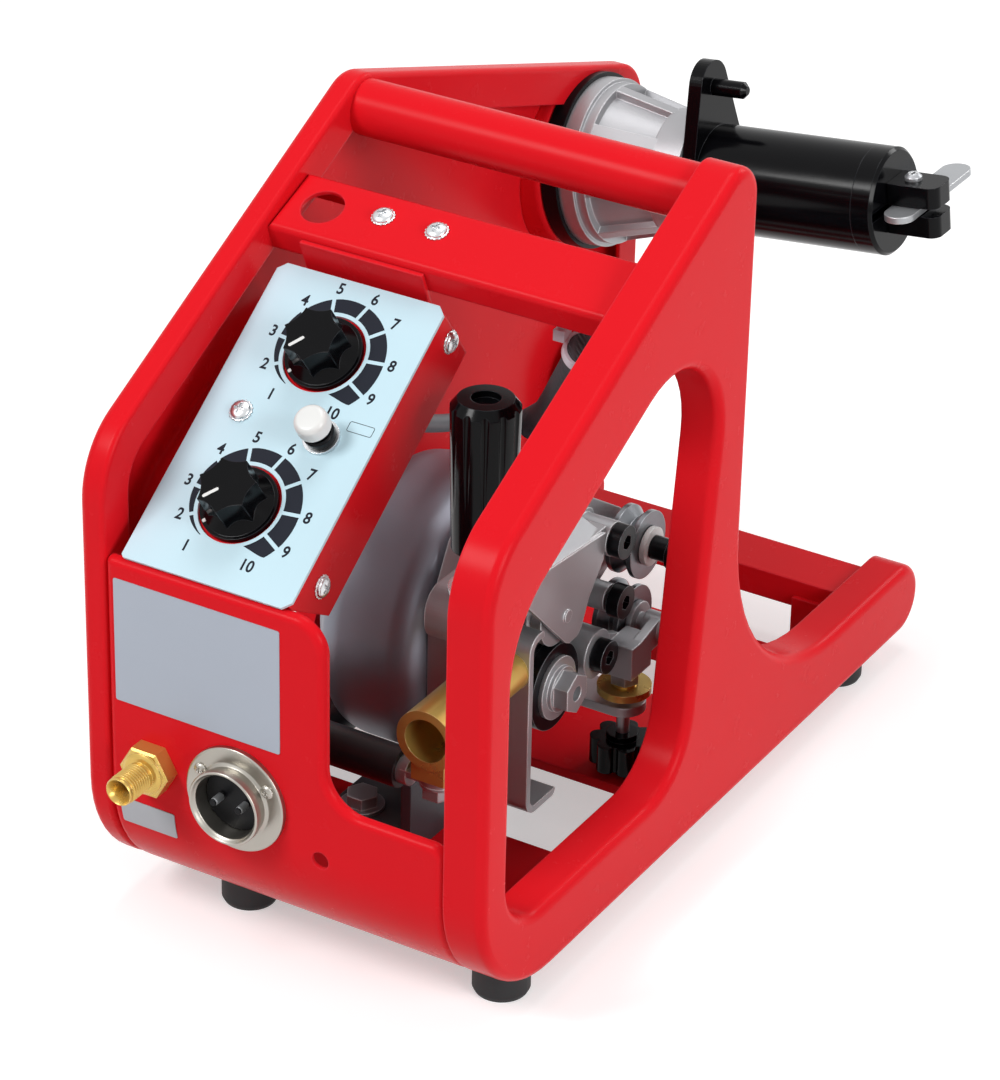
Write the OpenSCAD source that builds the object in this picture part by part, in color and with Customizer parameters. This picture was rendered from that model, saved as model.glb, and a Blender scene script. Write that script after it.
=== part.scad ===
// Portable wire feeder for a spool of welding wire: pressed frame, control box, two-roll drive and spool hub.
// +Z is up, -Y is the front with the sockets, +X is the side that the drive rollers face.
// Places are given in a working frame: X from the middle between the side frames, Y from the frames'
// front bend and Z from the floor. placed() then puts the origin at the middle of the part's underside.

/* [Side frames] */
// Width across both side frames
frame_w = 196; // [190:1:206]
// Thickness of the frame sheet
sheet = 2; // [1.5:0.1:2.2]
// Depth of the right frame's turned-in rim
right_rim = 19; // [17:0.5:21]
// Depth of the left frame's turned-in rim
left_rim = 12.5; // [11:0.5:13.5]
// Width of the left frame's return lip
lip_w = 18; // [15:1:20]
// Radius of the rounded edges of pressed sheet
edge_r = 4.5; // [3:0.5:5]
// Height of the frames' underside above the floor
foot_h = 13.3; // [11:0.5:16]
// Front of the frames
front_y = -41.5; // [-44:0.5:-40]
// Slope of the frames' top edge
slope_a = 27; // [26.5:0.1:27.5]
// Height of the top edge where Y is 0
slope_z = 247.3; // [244:0.5:252]
// Radius of the frames' upper bends at the front
bend_r = 39.5; // [34:0.5:41]
// Radius of the lower bends at the front
low_r = 57; // [52:0.5:58]
// Rear edge of the right frame's mast
mast_y = 171.5; // [170:0.5:176]
// Radius of the mast's top
apex_r = 15.5; // [15:0.5:17]
// End of the right frame's tail
tail_y = 361.8; // [358:0.5:372]
// Height of the right frame's tail
tail_h = 35.2; // [34.8:0.1:38]
// Radius between the mast and the tail
sweep_r = 100; // [80:1:104]
// Rear edge of the left frame
back_y = 405; // [404:0.5:412]
// Height of the left frame's rear top corner
back_z = 242.5; // [241:0.5:246]
// Fall of the left frame's top edge towards the rear
fall_a = 18.3; // [17.8:0.1:18.8]
// Diameter of the carrying handle
handle_d = 25; // [22:0.5:26]
// Diameter of a foot
foot_d = 25; // [20:1:26]

/* [Crossbeam] */
// Width of the beam's top
beam_w = 34.4; // [32:0.2:36]
// Height of the beam
beam_h = 13; // [11:0.5:14]
// Tilt of the beam
beam_a = 21.3; // [20:0.1:22]
// Front top edge of the beam, Y
beam_y = 79; // [79:0.5:81]
// Front top edge of the beam, Z
beam_z = 283.5; // [282:0.5:284]

/* [Front panel] */
// Height of the panel's top edge
panel_top = 181; // [176:0.5:182.3]
// Right edge of the panel's tall part
panel_x = 21.7; // [19:0.1:23]
// Top of the low band at the right
band_z = 95.5; // [90:0.5:104]
// Depth of the panel's rolled edge
panel_roll = 4.5; // [3.5:0.1:4.5]

/* [Control box] */
// Width of the faceplate
plate_w = 82; // [78:0.5:84]
// Length of the faceplate along the slope
plate_l = 146.8; // [145:0.1:148]
// Slope of the faceplate
plate_a = 35.85; // [35.5:0.05:36.2]
// Left edge of the faceplate
plate_x = -78.3; // [-80:0.1:-76]
// Depth of the box behind the faceplate
box_d = 33; // [28:0.5:34]
// Thickness of the faceplate
plate_t = 1.5; // [1:0.1:2]
// Diameter of the holes round the knobs
dial_hole_d = 36.5; // [36:0.5:40]
// Diameter of a knob's skirt
skirt_d = 34; // [30:0.5:35]
// Diameter of a knob's grip
knob_d = 26; // [22:0.5:27]
// Height of a knob
knob_h = 18; // [14:0.5:22]

/* [Front fittings] */
// Diameter of the control socket's flange
socket_d = 48; // [44:0.5:50]
// Diameter of the socket's collar
collar_d = 34; // [31:0.5:35]
// Length of the socket's collar
collar_l = 11; // [8:0.5:14]
// Width across the flats of the gas fitting
gas_hex = 21; // [19:0.5:24]
// Diameter of the gas fitting's nose
gas_d = 13.2; // [12:0.1:14]
// Reach of the gas fitting in front of the panel
gas_l = 25.5; // [24:0.5:34]

/* [Motor and gearbox] */
// Diameter of the disc motor
motor_d = 132; // [126:1:132]
// Middle of the motor, Y
motor_y = 138; // [137:0.5:139]
// Middle of the motor, Z
motor_z = 90; // [89:0.5:91]
// Gear size: pitch diameter per tooth
gear_m = 1; // [0.98:0.01:1]
// Teeth on the motor's pinion
pinion_n = 22; // [22:1:22]
// Teeth on the drive gear
gear_n = 40; // [40:1:40]
// Thickness of the gearbox lid
lid_t = 4; // [3.5:0.1:4.5]
// Diameter of the feed roller
feed_d = 40; // [38:0.1:40]
// Width of the rollers
roller_w = 13; // [11:0.5:13]
// Diameter of the pressure roller
press_d = 29.8; // [28:0.1:29.8]
// Middle of the rollers' grooves, X
wire_x = 37.5; // [37:0.1:38]
// Outer diameter of the torch adapter
adapter_d = 28; // [26:0.5:30]
// Bore of the torch adapter
adapter_bore = 20; // [18:0.5:20.5]
// Front of the torch adapter, Y
adapter_y = 11; // [6:0.5:16]
// Thickness of the guard's strap
guard_t = 3.3; // [3:0.1:3.4]

/* [Pressure arm] */
// Diameter of the pressure handle
press_handle_d = 30; // [27:0.5:31]
// Length of the pressure handle
press_handle_l = 69; // [60:1:70]
// Diameter of the pressure rod
rod_d = 8; // [7:0.1:8.4]
// Travel of the spring seat when the rod swings out
seat_travel = 18; // [16:0.5:18]

/* [Straightener] */
// Diameter of the straightener's rollers
straight_d = 31.6; // [30:0.1:31.6]
// Diameter of the star knob
star_d = 29; // [26:0.5:30]
// Diameter of the lock disc
disc_d = 24.5; // [22:0.5:26]
// Diameter of the adjusting rod
adjust_d = 6; // [5:0.1:6]

/* [Spool hub] */
// Diameter of the hub that carries the spool
hub_d = 50; // [48:0.1:50.4]
// Length of the hub
hub_l = 91; // [85:0.5:95]
// Tilt of the hub above level
hub_a = 6.5; // [6:0.1:7]
// Height of the hub's foot
hub_z = 213.5; // [212.5:0.1:214]
// Place of the hub, Y
hub_y = 350; // [348:0.5:352]
// Distance of the drive pin from the hub's axis
pin_r = 44.5; // [42:0.1:46]
// Diameter of the drive pin
pin_d = 8; // [7:0.1:9]
// Length of the drive pin
pin_l = 17.5; // [14:0.5:20]

/* [Hidden] */
$fn = 48;

// Small gaps
fit = 0.05;          // radial running clearance of a shaft
gap = 0.3;           // clearance between curved faces
eps = 1;             // overshoot of a cut

// Colours
red = "#d9141e";
steel = "#b9bcc0";
chrome = "#d8dadd";
black = "#17171a";
brass = "#c9a24a";
cast_grey = "#a4a7ab";

// Frames
arc_n = 10;                                   // facets of a rounded corner
edge_steps = 3;                               // steps of a rounded edge
right_x = frame_w / 2;                        // outer face of the right frame
left_x = -frame_w / 2;                        // outer face of the left frame
right_in = right_x - right_rim;               // inner edge of the right rim
left_in = left_x + left_rim;                  // inner face of the left lip
floor_z = foot_h + sheet;                     // top of the frames' lower rims
tail_z = foot_h + tail_h;                     // top of the right tail
slope_t = tan(slope_a);
fall_t = tan(fall_a);
top_left_y = (back_z + back_y * fall_t - slope_z) / (slope_t + fall_t);
handle_y = mast_y - apex_r;
handle_z = slope_at(handle_y) - apex_r / cos(slope_a);
post_y = 352;                                 // rear edge of the left frame below its overhang
post_z = 102;                                 // underside of the overhang
left_tail_y = 382;                            // end of the left frame's tail
left_tail_h = 19.7;                           // height of the left frame's tail
window_front = 20.5;                          // width of the frame's front post
window_base = 33.7;                           // height of the frame's lower rail

// Control box, in the faceplate's own frame: X across, Y up the slope and Z out of its face
plate_y = -40;
plate_z = 182.5;
dial_spots = [[40.3, 111.6], [38.6, 37.1]];   // upper and lower dial
dial_turns = [140, 138];                      // resting angle of each knob's pointer from straight up
button_spot = [58.4, 75.4];
box_top_t = 1.5;                              // thickness of the box's sheet
box_face = -plate_t;                          // top face of the box
box_in = 1;                                   // step from the faceplate's edge to the box's side

// Front fittings
socket_x = -20.8;
socket_z = 86.6;
gas_x = -62.8;
gas_z = 88;

// Drive
gear_a = gear_m * (pinion_n + gear_n) / 2;    // distance between the two gears
gear_tilt = 7.36;                             // fall of the line from the motor to the feed roller
feed_y = motor_y - gear_a * cos(gear_tilt);
feed_z = motor_z - gear_a * sin(gear_tilt);
wire_z = feed_z + feed_d / 2;                 // height of the wire
box_x = -6;                                   // left face of the gearbox
box_lid_x = 22;                               // face that the lid closes
lid_x = box_lid_x + lid_t;                    // outer face of the lid
roller_x0 = wire_x - roller_w / 2;
roller_x1 = wire_x + roller_w / 2;
drive_r = 7.5;
motor_shaft_r = 5;
press_y = feed_y + 2.7;                       // pressure roller over the feed roller
press_z = feed_z + sqrt(pow((feed_d + press_d) / 2 + gap, 2) - pow(press_y - feed_y, 2));
arm_pivot = [152, 139];                       // pressure arm's pivot, Y and Z
bolt_b = [153, 108.5];
lever_pivot = [140, 87];                      // straightener lever's pivot
head_x = 46.5;                                // inner face of the black bolt heads
head_t = 6;
head_d = 15.5;
plate_in_x = 45.2;                            // inner face of the pressure arm's side plate
arm_t = 2;                                    // thickness of the pressure arm's sheet
rod_x = 33.5;
rod_y = 61.5;
rod_pivot_z = 139;
seat_z = 152.6;                               // underside of the spring seat's washer
handle_low_z = 174;
handle_turn_r = press_handle_d / 2;
top_spot = [187, 119];                        // straightener's upper roller
low_spot = [177, top_spot.y - 32.9];          // straightener's lower roller
adjust_x = 50.5;
adjust_y = 158;

// Spool hub: distances along its axis from its foot
hub_x = left_in + 0.5;
ring_t = 8;
boss_end = 65;
arm_s = boss_end + gap;
drum_s = 72;
cap_t = 10.5;
cap_s = drum_s + hub_l - cap_t;
end_s = drum_s + hub_l;
spindle_r = 12;
latch_s = end_s + 9.6;                        // latch's pivot
clevis_h = 24;                                // height of the clevis across its prongs
clevis_end = end_s + 25;
bar_t = 3;
bar_w = 14;
bar_short = 22;
latch_room = 3;                               // room for the turned latch past the cap
bar_long = 50;

// Box round the whole part, for the origin
max_x = hub_x + clevis_end * cos(hub_a) + clevis_h / 2 * sin(hub_a);
min_y = front_y - gas_l;
origin = [(left_x + max_x) / 2, (min_y + back_y) / 2, 0];

// Routes of the leads, as points chosen along them
power_route = [
    [20, 22, 81.5], [5, 22, 81.5], [-30, 22, 81.5], [left_in + 31.5, 27, 77], [left_in + 19.5, 42, 60],
    [left_in + 14.5, 66, 40], for (y = [96, 140, 200, 236]) [left_in + 14.5, y, 31]
];
lead_route = [
    [-36.8, 59.4, 238.9], [-36.8, 70.8, 223], [-36.3, 82, 209], [-35, 98, 197], [-34, 116, 188.5],
    [-34, 140, 178], [-30, 166, 170], [-24, 182, 163.6]
];
sleeve_route = [
    [-19, 190, 160], [-8, 184, 170], [8, 162, 188], [24, 140, 208], [38, 121, 226], [49, 109, 242], [56, 103, 254]
];
power_r = 9;
lead_r = 4;
sleeve_r = 7.5;

// ---------------------------------------------------------------- shapes

function slope_at(y) = slope_z + y * tan(slope_a);
function flat(c) = [c.x, c.y];
function unit(v) = v / norm(v);

// Line from p to q moved d to its left, as a point and a direction
function moved_line(p, q, d) =
    let (u = unit(q - p))
    [p + d * [-u.y, u.x], u];

function meeting(a, b) = a[0] + a[1] * cross(b[0] - a[0], b[1]) / cross(a[1], b[1]);

// Outline of corners [x, y, radius], counter-clockwise, moved inwards by d
function inset(corners, d) = [
    for (i = [0:len(corners) - 1])
        let (
            n = len(corners),
            a = flat(corners[(i + n - 1) % n]),
            b = flat(corners[i]),
            c = flat(corners[(i + 1) % n]),
            p = meeting(moved_line(a, b, d), moved_line(b, c, d)),
            turn = cross(b - a, c - b) > 0 ? 1 : -1
        )
        [p.x, p.y, max(corners[i][2] - turn * d, 0)]
];

// Points that round the corner b between a and c
function corner_arc(a, b, c, r) =
    r < 0.05 ? [b] :
    let (
        u = unit(a - b),
        v = unit(c - b),
        half = acos(u * v) / 2,
        centre = b + unit(u + v) * r / sin(half),
        start = b + u * r / tan(half) - centre,
        from = atan2(start.y, start.x),
        sweep = (cross(b - a, c - b) > 0 ? 1 : -1) * (180 - 2 * half)
    )
    [for (k = [0:arc_n]) centre + r * [cos(from + sweep * k / arc_n), sin(from + sweep * k / arc_n)]];

function rounded(corners) = [
    for (i = [0:len(corners) - 1])
        let (n = len(corners))
        each corner_arc(
            flat(corners[(i + n - 1) % n]), flat(corners[i]), flat(corners[(i + 1) % n]), corners[i][2]
        )
];

module outline(corners) {
    polygon(rounded(corners));
}

// Sheet pressed into a tray: its face at the top, its rim and windows turned down, its edges rounded
module pressed(rim, windows, depth, wall, edge) {
    step = edge / edge_steps;
    difference() {
        union() {
            linear_extrude(depth - edge)
                outline(rim);
            for (i = [0:edge_steps - 1])
                translate([0, 0, depth - edge + i * step])
                    linear_extrude(step)
                        outline(inset(rim, edge - sqrt(pow(edge, 2) - pow((i + 0.5) * step, 2))));
        }
        translate([0, 0, -eps])
            linear_extrude(depth - wall + eps)
                difference() {
                    outline(inset(rim, wall));
                    for (w = windows)
                        outline(inset(w, -wall));
                }
        for (w = windows) {
            translate([0, 0, -eps])
                linear_extrude(depth + 2 * eps)
                    outline(w);
            for (i = [0:edge_steps - 1])
                translate([0, 0, depth - edge + i * step])
                    linear_extrude(step + (i == edge_steps - 1 ? eps : 0))
                        outline(inset(w, -(edge - sqrt(pow(edge, 2) - pow((i + 0.5) * step, 2)))));
        }
    }
}

// Profile in Y and Z, run along X
module along_x(x, length) {
    translate([x, 0, 0])
        rotate([90, 0, 90])
            linear_extrude(length)
                children();
}

// Profile in X and Z, run along Y
module along_y(y, length) {
    translate([0, y + length, 0])
        rotate([90, 0, 0])
            linear_extrude(length)
                children();
}

module x_cylinder(x, length, y, z, r) {
    translate([x, y, z])
        rotate([0, 90, 0])
            cylinder(r = r, h = length);
}

module y_cylinder(x, y, length, z, r) {
    translate([x, y + length, z])
        rotate([90, 0, 0])
            cylinder(r = r, h = length);
}

module block(low, high) {
    translate(low)
        cube(high - low);
}

// Hexagonal head by its width across the flats
module hex(across, h) {
    cylinder(r = across / sqrt(3), h = h, $fn = 6);
}

// Points of a smooth curve through the given ones, with n steps to each
function smooth(p, n) = [
    for (i = [0:len(p) - 2])
        for (k = [0:n - 1])
            let (
                t = k / n,
                a = p[max(i - 1, 0)],
                b = p[i],
                c = p[i + 1],
                d = p[min(i + 2, len(p) - 1)]
            )
            (2 * b + (c - a) * t + (2 * a - 5 * b + 4 * c - d) * pow(t, 2) + (3 * b - a - 3 * c + d) * pow(t, 3)) / 2,
    p[len(p) - 1]
];

// Round lead swept along points, as one closed solid
module lead(points, r, sides) {
    n = len(points);
    rings = [
        for (i = [0:n - 1])
            let (
                d = unit(points[min(i + 1, n - 1)] - points[max(i - 1, 0)]),
                side = unit(cross(d, [0, 0, 1])),
                up = cross(side, d)
            )
            for (k = [0:sides - 1])
                points[i] + r * (side * cos(360 * k / sides) + up * sin(360 * k / sides))
    ];
    walls = [
        for (i = [0:n - 2])
            for (k = [0:sides - 1])
                let (
                    a = i * sides + k,
                    b = i * sides + (k + 1) % sides
                )
                each [[a, a + sides, b], [b, a + sides, b + sides]]
    ];
    last = (n - 1) * sides;
    ends = [for (k = [1:sides - 2]) each [[0, k, k + 1], [last, last + k + 1, last + k]]];
    polyhedron(points = rings, faces = concat(walls, ends));
}

// Pan head with a cross recess, its seat at the origin and its dome along +Z
module pan_head(d) {
    slot = d / 7;
    difference() {
        union() {
            cylinder(d = d, h = d * 0.2);
            translate([0, 0, d * 0.2])
                cylinder(d1 = d, d2 = d * 0.6, h = d * 0.2);
        }
        for (turn = [0, 90])
            rotate([0, 0, turn])
                translate([-d * 0.28, -slot / 2, d * 0.2])
                    cube([d * 0.56, slot, d]);
    }
}

// Round head with a hexagon socket, its seat at the origin and its face along +X
module socket_head() {
    rotate([0, 90, 0])
        difference() {
            cylinder(d = head_d, h = head_t);
            translate([0, 0, head_t / 2])
                hex(head_d * 0.4, head_t);
        }
}

// Spur gear with plain tapered teeth
module gear(teeth, width, bore_r, turn) {
    pitch = gear_m * teeth / 2;
    root = pitch - 1.2 * gear_m;
    tip = pitch + 0.8 * gear_m;
    tooth = 360 / teeth;
    rotate([0, 0, turn])
        linear_extrude(width)
            difference() {
                polygon([
                    for (i = [0:teeth - 1])
                        each [
                            root * [cos((i - 0.3) * tooth), sin((i - 0.3) * tooth)],
                            tip * [cos((i - 0.12) * tooth), sin((i - 0.12) * tooth)],
                            tip * [cos((i + 0.12) * tooth), sin((i + 0.12) * tooth)],
                            root * [cos((i + 0.3) * tooth), sin((i + 0.3) * tooth)]
                        ]
                ]);
                circle(r = bore_r);
            }
}

// Grooved roller of two flanges on a core
module grooved(d, width, groove, bore_r) {
    rotate([0, 90, 0])
        rotate_extrude()
            polygon([
                [bore_r, 0], [d / 2, 0], [d / 2, width / 2 - groove], [d / 2 - groove, width / 2],
                [d / 2, width / 2 + groove], [d / 2, width], [bore_r, width]
            ]);
}

// Frame along the hub: +Z runs out along its axis, +X points down and +Y to the rear
module on_hub(s) {
    translate([hub_x, hub_y, hub_z])
        rotate([0, 90 - hub_a, 0])
            translate([0, 0, s])
                children();
}

// Faceplate's frame: X across, Y up the slope and Z out of its face
module on_plate() {
    translate([plate_x, plate_y, plate_z])
        rotate([plate_a, 0, 0])
            children();
}

// Beam's frame: X along it, Y up its tilted top and Z out of the top
module on_beam() {
    translate([0, beam_y, beam_z])
        rotate([beam_a, 0, 0])
            children();
}

module placed() {
    translate(-origin)
        children();
}

// ---------------------------------------------------------------- frame

right_rim_corners = [
    [front_y, foot_h, low_r],
    [tail_y, foot_h, tail_h / 2 - 0.4],
    [tail_y, tail_z, tail_h / 2 - 0.4],
    [mast_y, tail_z, sweep_r],
    [mast_y, slope_at(mast_y), apex_r],
    [front_y, slope_at(front_y), bend_r]
];

right_window = [
    [front_y + window_front, foot_h + window_base, 28],
    [mast_y - 44.5, foot_h + window_base, 34],
    [mast_y - 16, slope_at(mast_y - 16) - 44, 42],
    [front_y + window_front, slope_at(front_y + window_front) - 44, 45]
];

left_rim_corners = [
    [front_y, foot_h, low_r],
    [left_tail_y, foot_h, left_tail_h / 2 - 0.4],
    [left_tail_y, foot_h + left_tail_h, left_tail_h / 2 - 0.4],
    [post_y, foot_h + left_tail_h, 25],
    [post_y, post_z, 10],
    [back_y, post_z, 28],
    [back_y, back_z, 25],
    [top_left_y, slope_at(top_left_y), 20],
    [front_y, slope_at(front_y), bend_r]
];

// The left rim without its tail, which bounds the lip
left_lip_corners = [
    left_rim_corners[0],
    [post_y, foot_h, 4],
    for (i = [4:8]) left_rim_corners[i]
];

left_window = [
    [front_y + 32.5, foot_h + 45, 20],
    [mast_y - 56, foot_h + 45, 30],
    [mast_y - 28, slope_at(mast_y - 28) - 57, 40],
    [front_y + 32.5, slope_at(front_y + 32.5) - 57, 45]
];

module side_frame_right() {
    color(red)
        translate([right_in, 0, 0])
            rotate([90, 0, 90])
                pressed(right_rim_corners, [right_window], right_rim, sheet, edge_r);
}

// The left frame's face, with a lip turned round its open side
module left_shell() {
    translate([left_in, 0, 0])
        mirror([1, 0, 0])
            rotate([90, 0, 90]) {
                pressed(left_rim_corners, [left_window], left_rim, sheet, edge_r);
                linear_extrude(sheet)
                    difference() {
                        outline(inset(left_rim_corners, sheet / 2));
                        outline(inset(left_lip_corners, lip_w));
                    }
            }
}

dish_r = 41;                                  // dish pressed inwards as the hub's tilted seat
ring_r = 42;                                  // insulating ring on the dish

module side_frame_left() {
    dish_l = 16;
    color(red)
        difference() {
            union() {
                difference() {
                    left_shell();
                    on_hub(-2 * sheet)
                        cylinder(r = ring_r + gap, h = left_rim);
                }
                difference() {
                    on_hub(-dish_l)
                        cylinder(r = dish_r, h = dish_l);
                    block([left_x - 4 * dish_l, hub_y - 60, 100], [left_x + sheet / 2, hub_y + 60, 300]);
                }
            }
            on_hub(-2 * dish_l)
                cylinder(r = dish_r - sheet, h = 2 * dish_l - sheet);
            on_hub(-2 * sheet)
                cylinder(r = 6, h = 4 * sheet);
        }
}

panel_low_z = foot_h + low_r;                 // where the panel's bottom bend begins

panel_corners = [
    [left_in, foot_h, 0],
    [right_in, foot_h, 0],
    [right_in, band_z, 6],
    [panel_x, band_z, 18],
    [panel_x, panel_top, 15],
    [left_in, panel_top, 3]
];

module front_panel() {
    bottom_y = 24;
    bend_at = [front_y + low_r, panel_low_z];
    bend = [for (k = [0:2 * arc_n]) 180 + 90 * k / (2 * arc_n)];
    color(red)
        difference() {
            union() {
                difference() {
                    translate([0, front_y + panel_roll, 0])
                        rotate([90, 0, 0])
                            pressed(panel_corners, [], panel_roll, sheet, min(edge_r, panel_roll) - 0.5);
                    block([left_in - eps, front_y - eps, 0], [right_in + eps, front_y + sheet, panel_low_z]);
                    block([left_in - eps, front_y, 0], [right_in + eps, front_y + 2 * panel_roll, panel_low_z + 6]);
                }
                block([left_in, front_y, panel_low_z], [right_in, front_y + sheet, panel_low_z + 7]);
                along_x(left_in, right_in - left_in)
                    polygon(concat(
                        [for (b = bend) bend_at + low_r * [cos(b), sin(b)]],
                        [[bottom_y, foot_h], [bottom_y, floor_z]],
                        [
                            for (k = [2 * arc_n:-1:0])
                                bend_at + (low_r - sheet) * [cos(bend[k]), sin(bend[k])]
                        ]
                    ));
            }
            y_cylinder(socket_x, front_y - eps, 2 * panel_roll, socket_z, collar_d / 2 - 1);
            y_cylinder(gas_x, front_y - eps, 2 * panel_roll, gas_z, 7);
            y_cylinder(19.9, front_y - eps, 2 * panel_roll, 69.7, 4);
            for (turn = [30, 150, 270])
                y_cylinder(
                    socket_x + 19 * cos(turn), front_y - eps, 2 * panel_roll, socket_z + 19 * sin(turn), 1.6
                );
        }
}

module handle_tube() {
    color(red)
        difference() {
            x_cylinder(left_in, right_x - sheet - left_in, handle_y, handle_z, handle_d / 2);
            x_cylinder(left_in - eps, frame_w, handle_y, handle_z, handle_d / 2 - sheet);
        }
}

beam_bolts = [-39.8, -13.5];
beam_hole_x = -67.8;

module crossbeam() {
    color(red)
        on_beam()
            difference() {
                block([left_in, 0, -beam_h], [right_x - sheet, beam_w, 0]);
                block([left_in - eps, sheet, -beam_h - eps], [right_x, beam_w - sheet, -sheet]);
                translate([beam_hole_x, beam_w / 2, -2 * sheet])
                    cylinder(d = 19, h = 4 * sheet);
                for (x = beam_bolts)
                    translate([x, beam_w * 0.6, -2 * sheet])
                        cylinder(d = 4.4, h = 4 * sheet);
                translate([48, beam_w / 2, -2 * sheet])
                    cylinder(d = 6, h = 4 * sheet);
            }
}

// Shallow tray across the frames, its open side down
module cross_tray(y0, y1, z0, z1) {
    color(red)
        difference() {
            block([left_in, y0, z0], [right_x - sheet, y1, z1]);
            block([left_in - eps, y0 + sheet, z0 - eps], [right_x, y1 - sheet, z1 - sheet]);
        }
}

module floor_plate() {
    color(red)
        block([left_in, front_y + low_r, floor_z], [right_x - sheet, 85, floor_z + 2.7]);
}

module mid_plate() {
    cross_tray(144, 222, floor_z, floor_z + 4.7);
}

module mid_bar() {
    cross_tray(256, 286, floor_z, floor_z + 8.7);
}

rear_bar_y = 311;
rear_bar_z = 32;

module rear_bar() {
    cross_tray(rear_bar_y, rear_bar_y + 29, rear_bar_z, rear_bar_z + 14);
}

module rear_bracket() {
    t = 2.5;
    x0 = right_x - 41;
    x1 = right_x - 8;
    color(red) {
        block([x0, rear_bar_y - t, 24], [x1, rear_bar_y, 38]);
        block([x0, rear_bar_y - t, floor_z], [x1, rear_bar_y + 16, floor_z + t]);
        block([x0, rear_bar_y - t, floor_z], [x0 + 3, rear_bar_y, 30]);
        block([x1 - 3, rear_bar_y - t, floor_z], [x1, rear_bar_y, 30]);
        y_cylinder(x1 - 16, rear_bar_y - t - 2.5, 3, 31, 4);
    }
}

foot_spots = [[78.5, 8], [-48.5, 8], [79.5, 314], [left_x + foot_d / 2 + 0.5, 318]];

module feet() {
    color(black)
        for (p = foot_spots)
            translate([p.x, p.y, 0])
                difference() {
                    union() {
                        cylinder(d1 = foot_d - 2, d2 = foot_d, h = 2);
                        translate([0, 0, 2])
                            cylinder(d = foot_d, h = foot_h - 2 + (p.y < 100 ? 4 : 0));
                    }
                    translate([0, 0, -eps])
                        cylinder(d = foot_d * 0.4, h = foot_h / 2);
                    translate([0, front_y + low_r - p.y, foot_h + low_r]) {
                        rotate([0, 90, 0])
                            cylinder(r = low_r, h = 2 * foot_d, center = true);
                        translate([-foot_d, 0, -low_r])
                            cube(2 * foot_d);
                    }
                }
}

// ---------------------------------------------------------------- control box

module control_box() {
    flange_w = 60;
    back = [[2, box_face], [plate_l - 2, box_face], [plate_l - 2, -box_d], [15, -box_d], [2, box_face - 3]];
    color(red) {
        on_plate()
            difference() {
                translate([box_in, 0, 0])
                    rotate([90, 0, 90])
                        linear_extrude(plate_w - 2 * box_in)
                            polygon(back);
                translate([box_in + box_top_t, 0, 0])
                    rotate([90, 0, 90])
                        linear_extrude(plate_w - 2 * box_in - 2 * box_top_t)
                            polygon([
                                [2 + box_top_t, box_face - box_top_t],
                                [plate_l - 2 - box_top_t, box_face - box_top_t],
                                [plate_l - 2 - box_top_t, -box_d - eps],
                                [16, -box_d - eps],
                                [2 + box_top_t, box_face - 3 - box_top_t]
                            ]);
                for (p = dial_spots)
                    translate([p.x, p.y, -2 * box_top_t - plate_t])
                        cylinder(r = 4.6, h = 4 * box_top_t);
                translate([button_spot.x, button_spot.y, -2 * box_top_t - plate_t])
                    cylinder(r = 6.1, h = 4 * box_top_t);
            }
        hull() {
            on_beam()
                block([plate_x + 10, -sheet - gap, -5], [plate_x + 10 + flange_w, -gap, -3]);
            on_plate()
                block([10, plate_l - 2 - box_top_t, -box_d], [10 + flange_w, plate_l - 2, 4 - box_d]);
        }
    }
}

module faceplate() {
    chamfer = 3.6;
    color("#c4dde6")
        on_plate()
            translate([0, 0, -plate_t])
                linear_extrude(plate_t)
                    difference() {
                        polygon([
                            [chamfer / 3, 0], [plate_w - chamfer, 0], [plate_w, chamfer], [plate_w, plate_l - chamfer],
                            [plate_w - chamfer, plate_l], [chamfer, plate_l], [0, plate_l - chamfer], [0, chamfer / 3]
                        ]);
                        for (p = dial_spots)
                            translate(p)
                                circle(d = dial_hole_d);
                        translate(button_spot)
                            circle(r = 6.1);
                        translate([18, 76.6])
                            circle(r = 2);
                    }
}

pot_bush_l = 4.5;
shaft_r = 3;

// Fluted knob with its skirt, pointer groove and shaft, along +Z from the box's face
module knob(turn) {
    flutes = 7;
    skirt_t = 2.4;
    flute_r = 14;
    color(black)
        rotate([0, 0, turn]) {
            difference() {
                union() {
                    rotate_extrude()
                        polygon([
                            [0, 0], [skirt_d / 2, 0], [skirt_d / 2, skirt_t], [skirt_d / 2 - 1.5, skirt_t],
                            [knob_d / 2 - 2.5, skirt_t + 4], [0, skirt_t + 4]
                        ]);
                    translate([0, 0, 1])
                        linear_extrude(knob_h - 1)
                            difference() {
                                circle(d = knob_d);
                                for (i = [0:flutes - 1])
                                    rotate(90 + 360 * (i + 0.5) / flutes)
                                        translate([knob_d / 2 + flute_r - 2.3, 0])
                                            circle(r = flute_r);
                            }
                }
                translate([-0.5, 3, knob_h - 0.6])
                    cube([1, knob_d / 2 - 6, 1]);
                translate([0, 0, -eps])
                    cylinder(r = 5.2, h = eps + 3.2);
            }
            translate([0, 0, -box_top_t - 7.4])
                cylinder(r = shaft_r, h = 12.4 + box_top_t);
        }
}

module on_dial(i) {
    on_plate()
        translate([dial_spots[i].x, dial_spots[i].y, box_face + gap])
            children();
}

module pots() {
    body_t = 9;
    color(cast_grey)
        on_plate()
            for (p = dial_spots)
                translate([p.x, p.y, box_face - box_top_t])
                    difference() {
                        union() {
                            translate([0, 0, -body_t])
                                cylinder(r = 11.5, h = body_t);
                            cylinder(r = 4.5, h = pot_bush_l - 0.3);
                        }
                        translate([0, 0, -body_t + 1.5])
                            cylinder(r = shaft_r + fit, h = 3 * body_t);
                    }
}

button_travel = 3;
button_r = 7.2;

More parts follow.
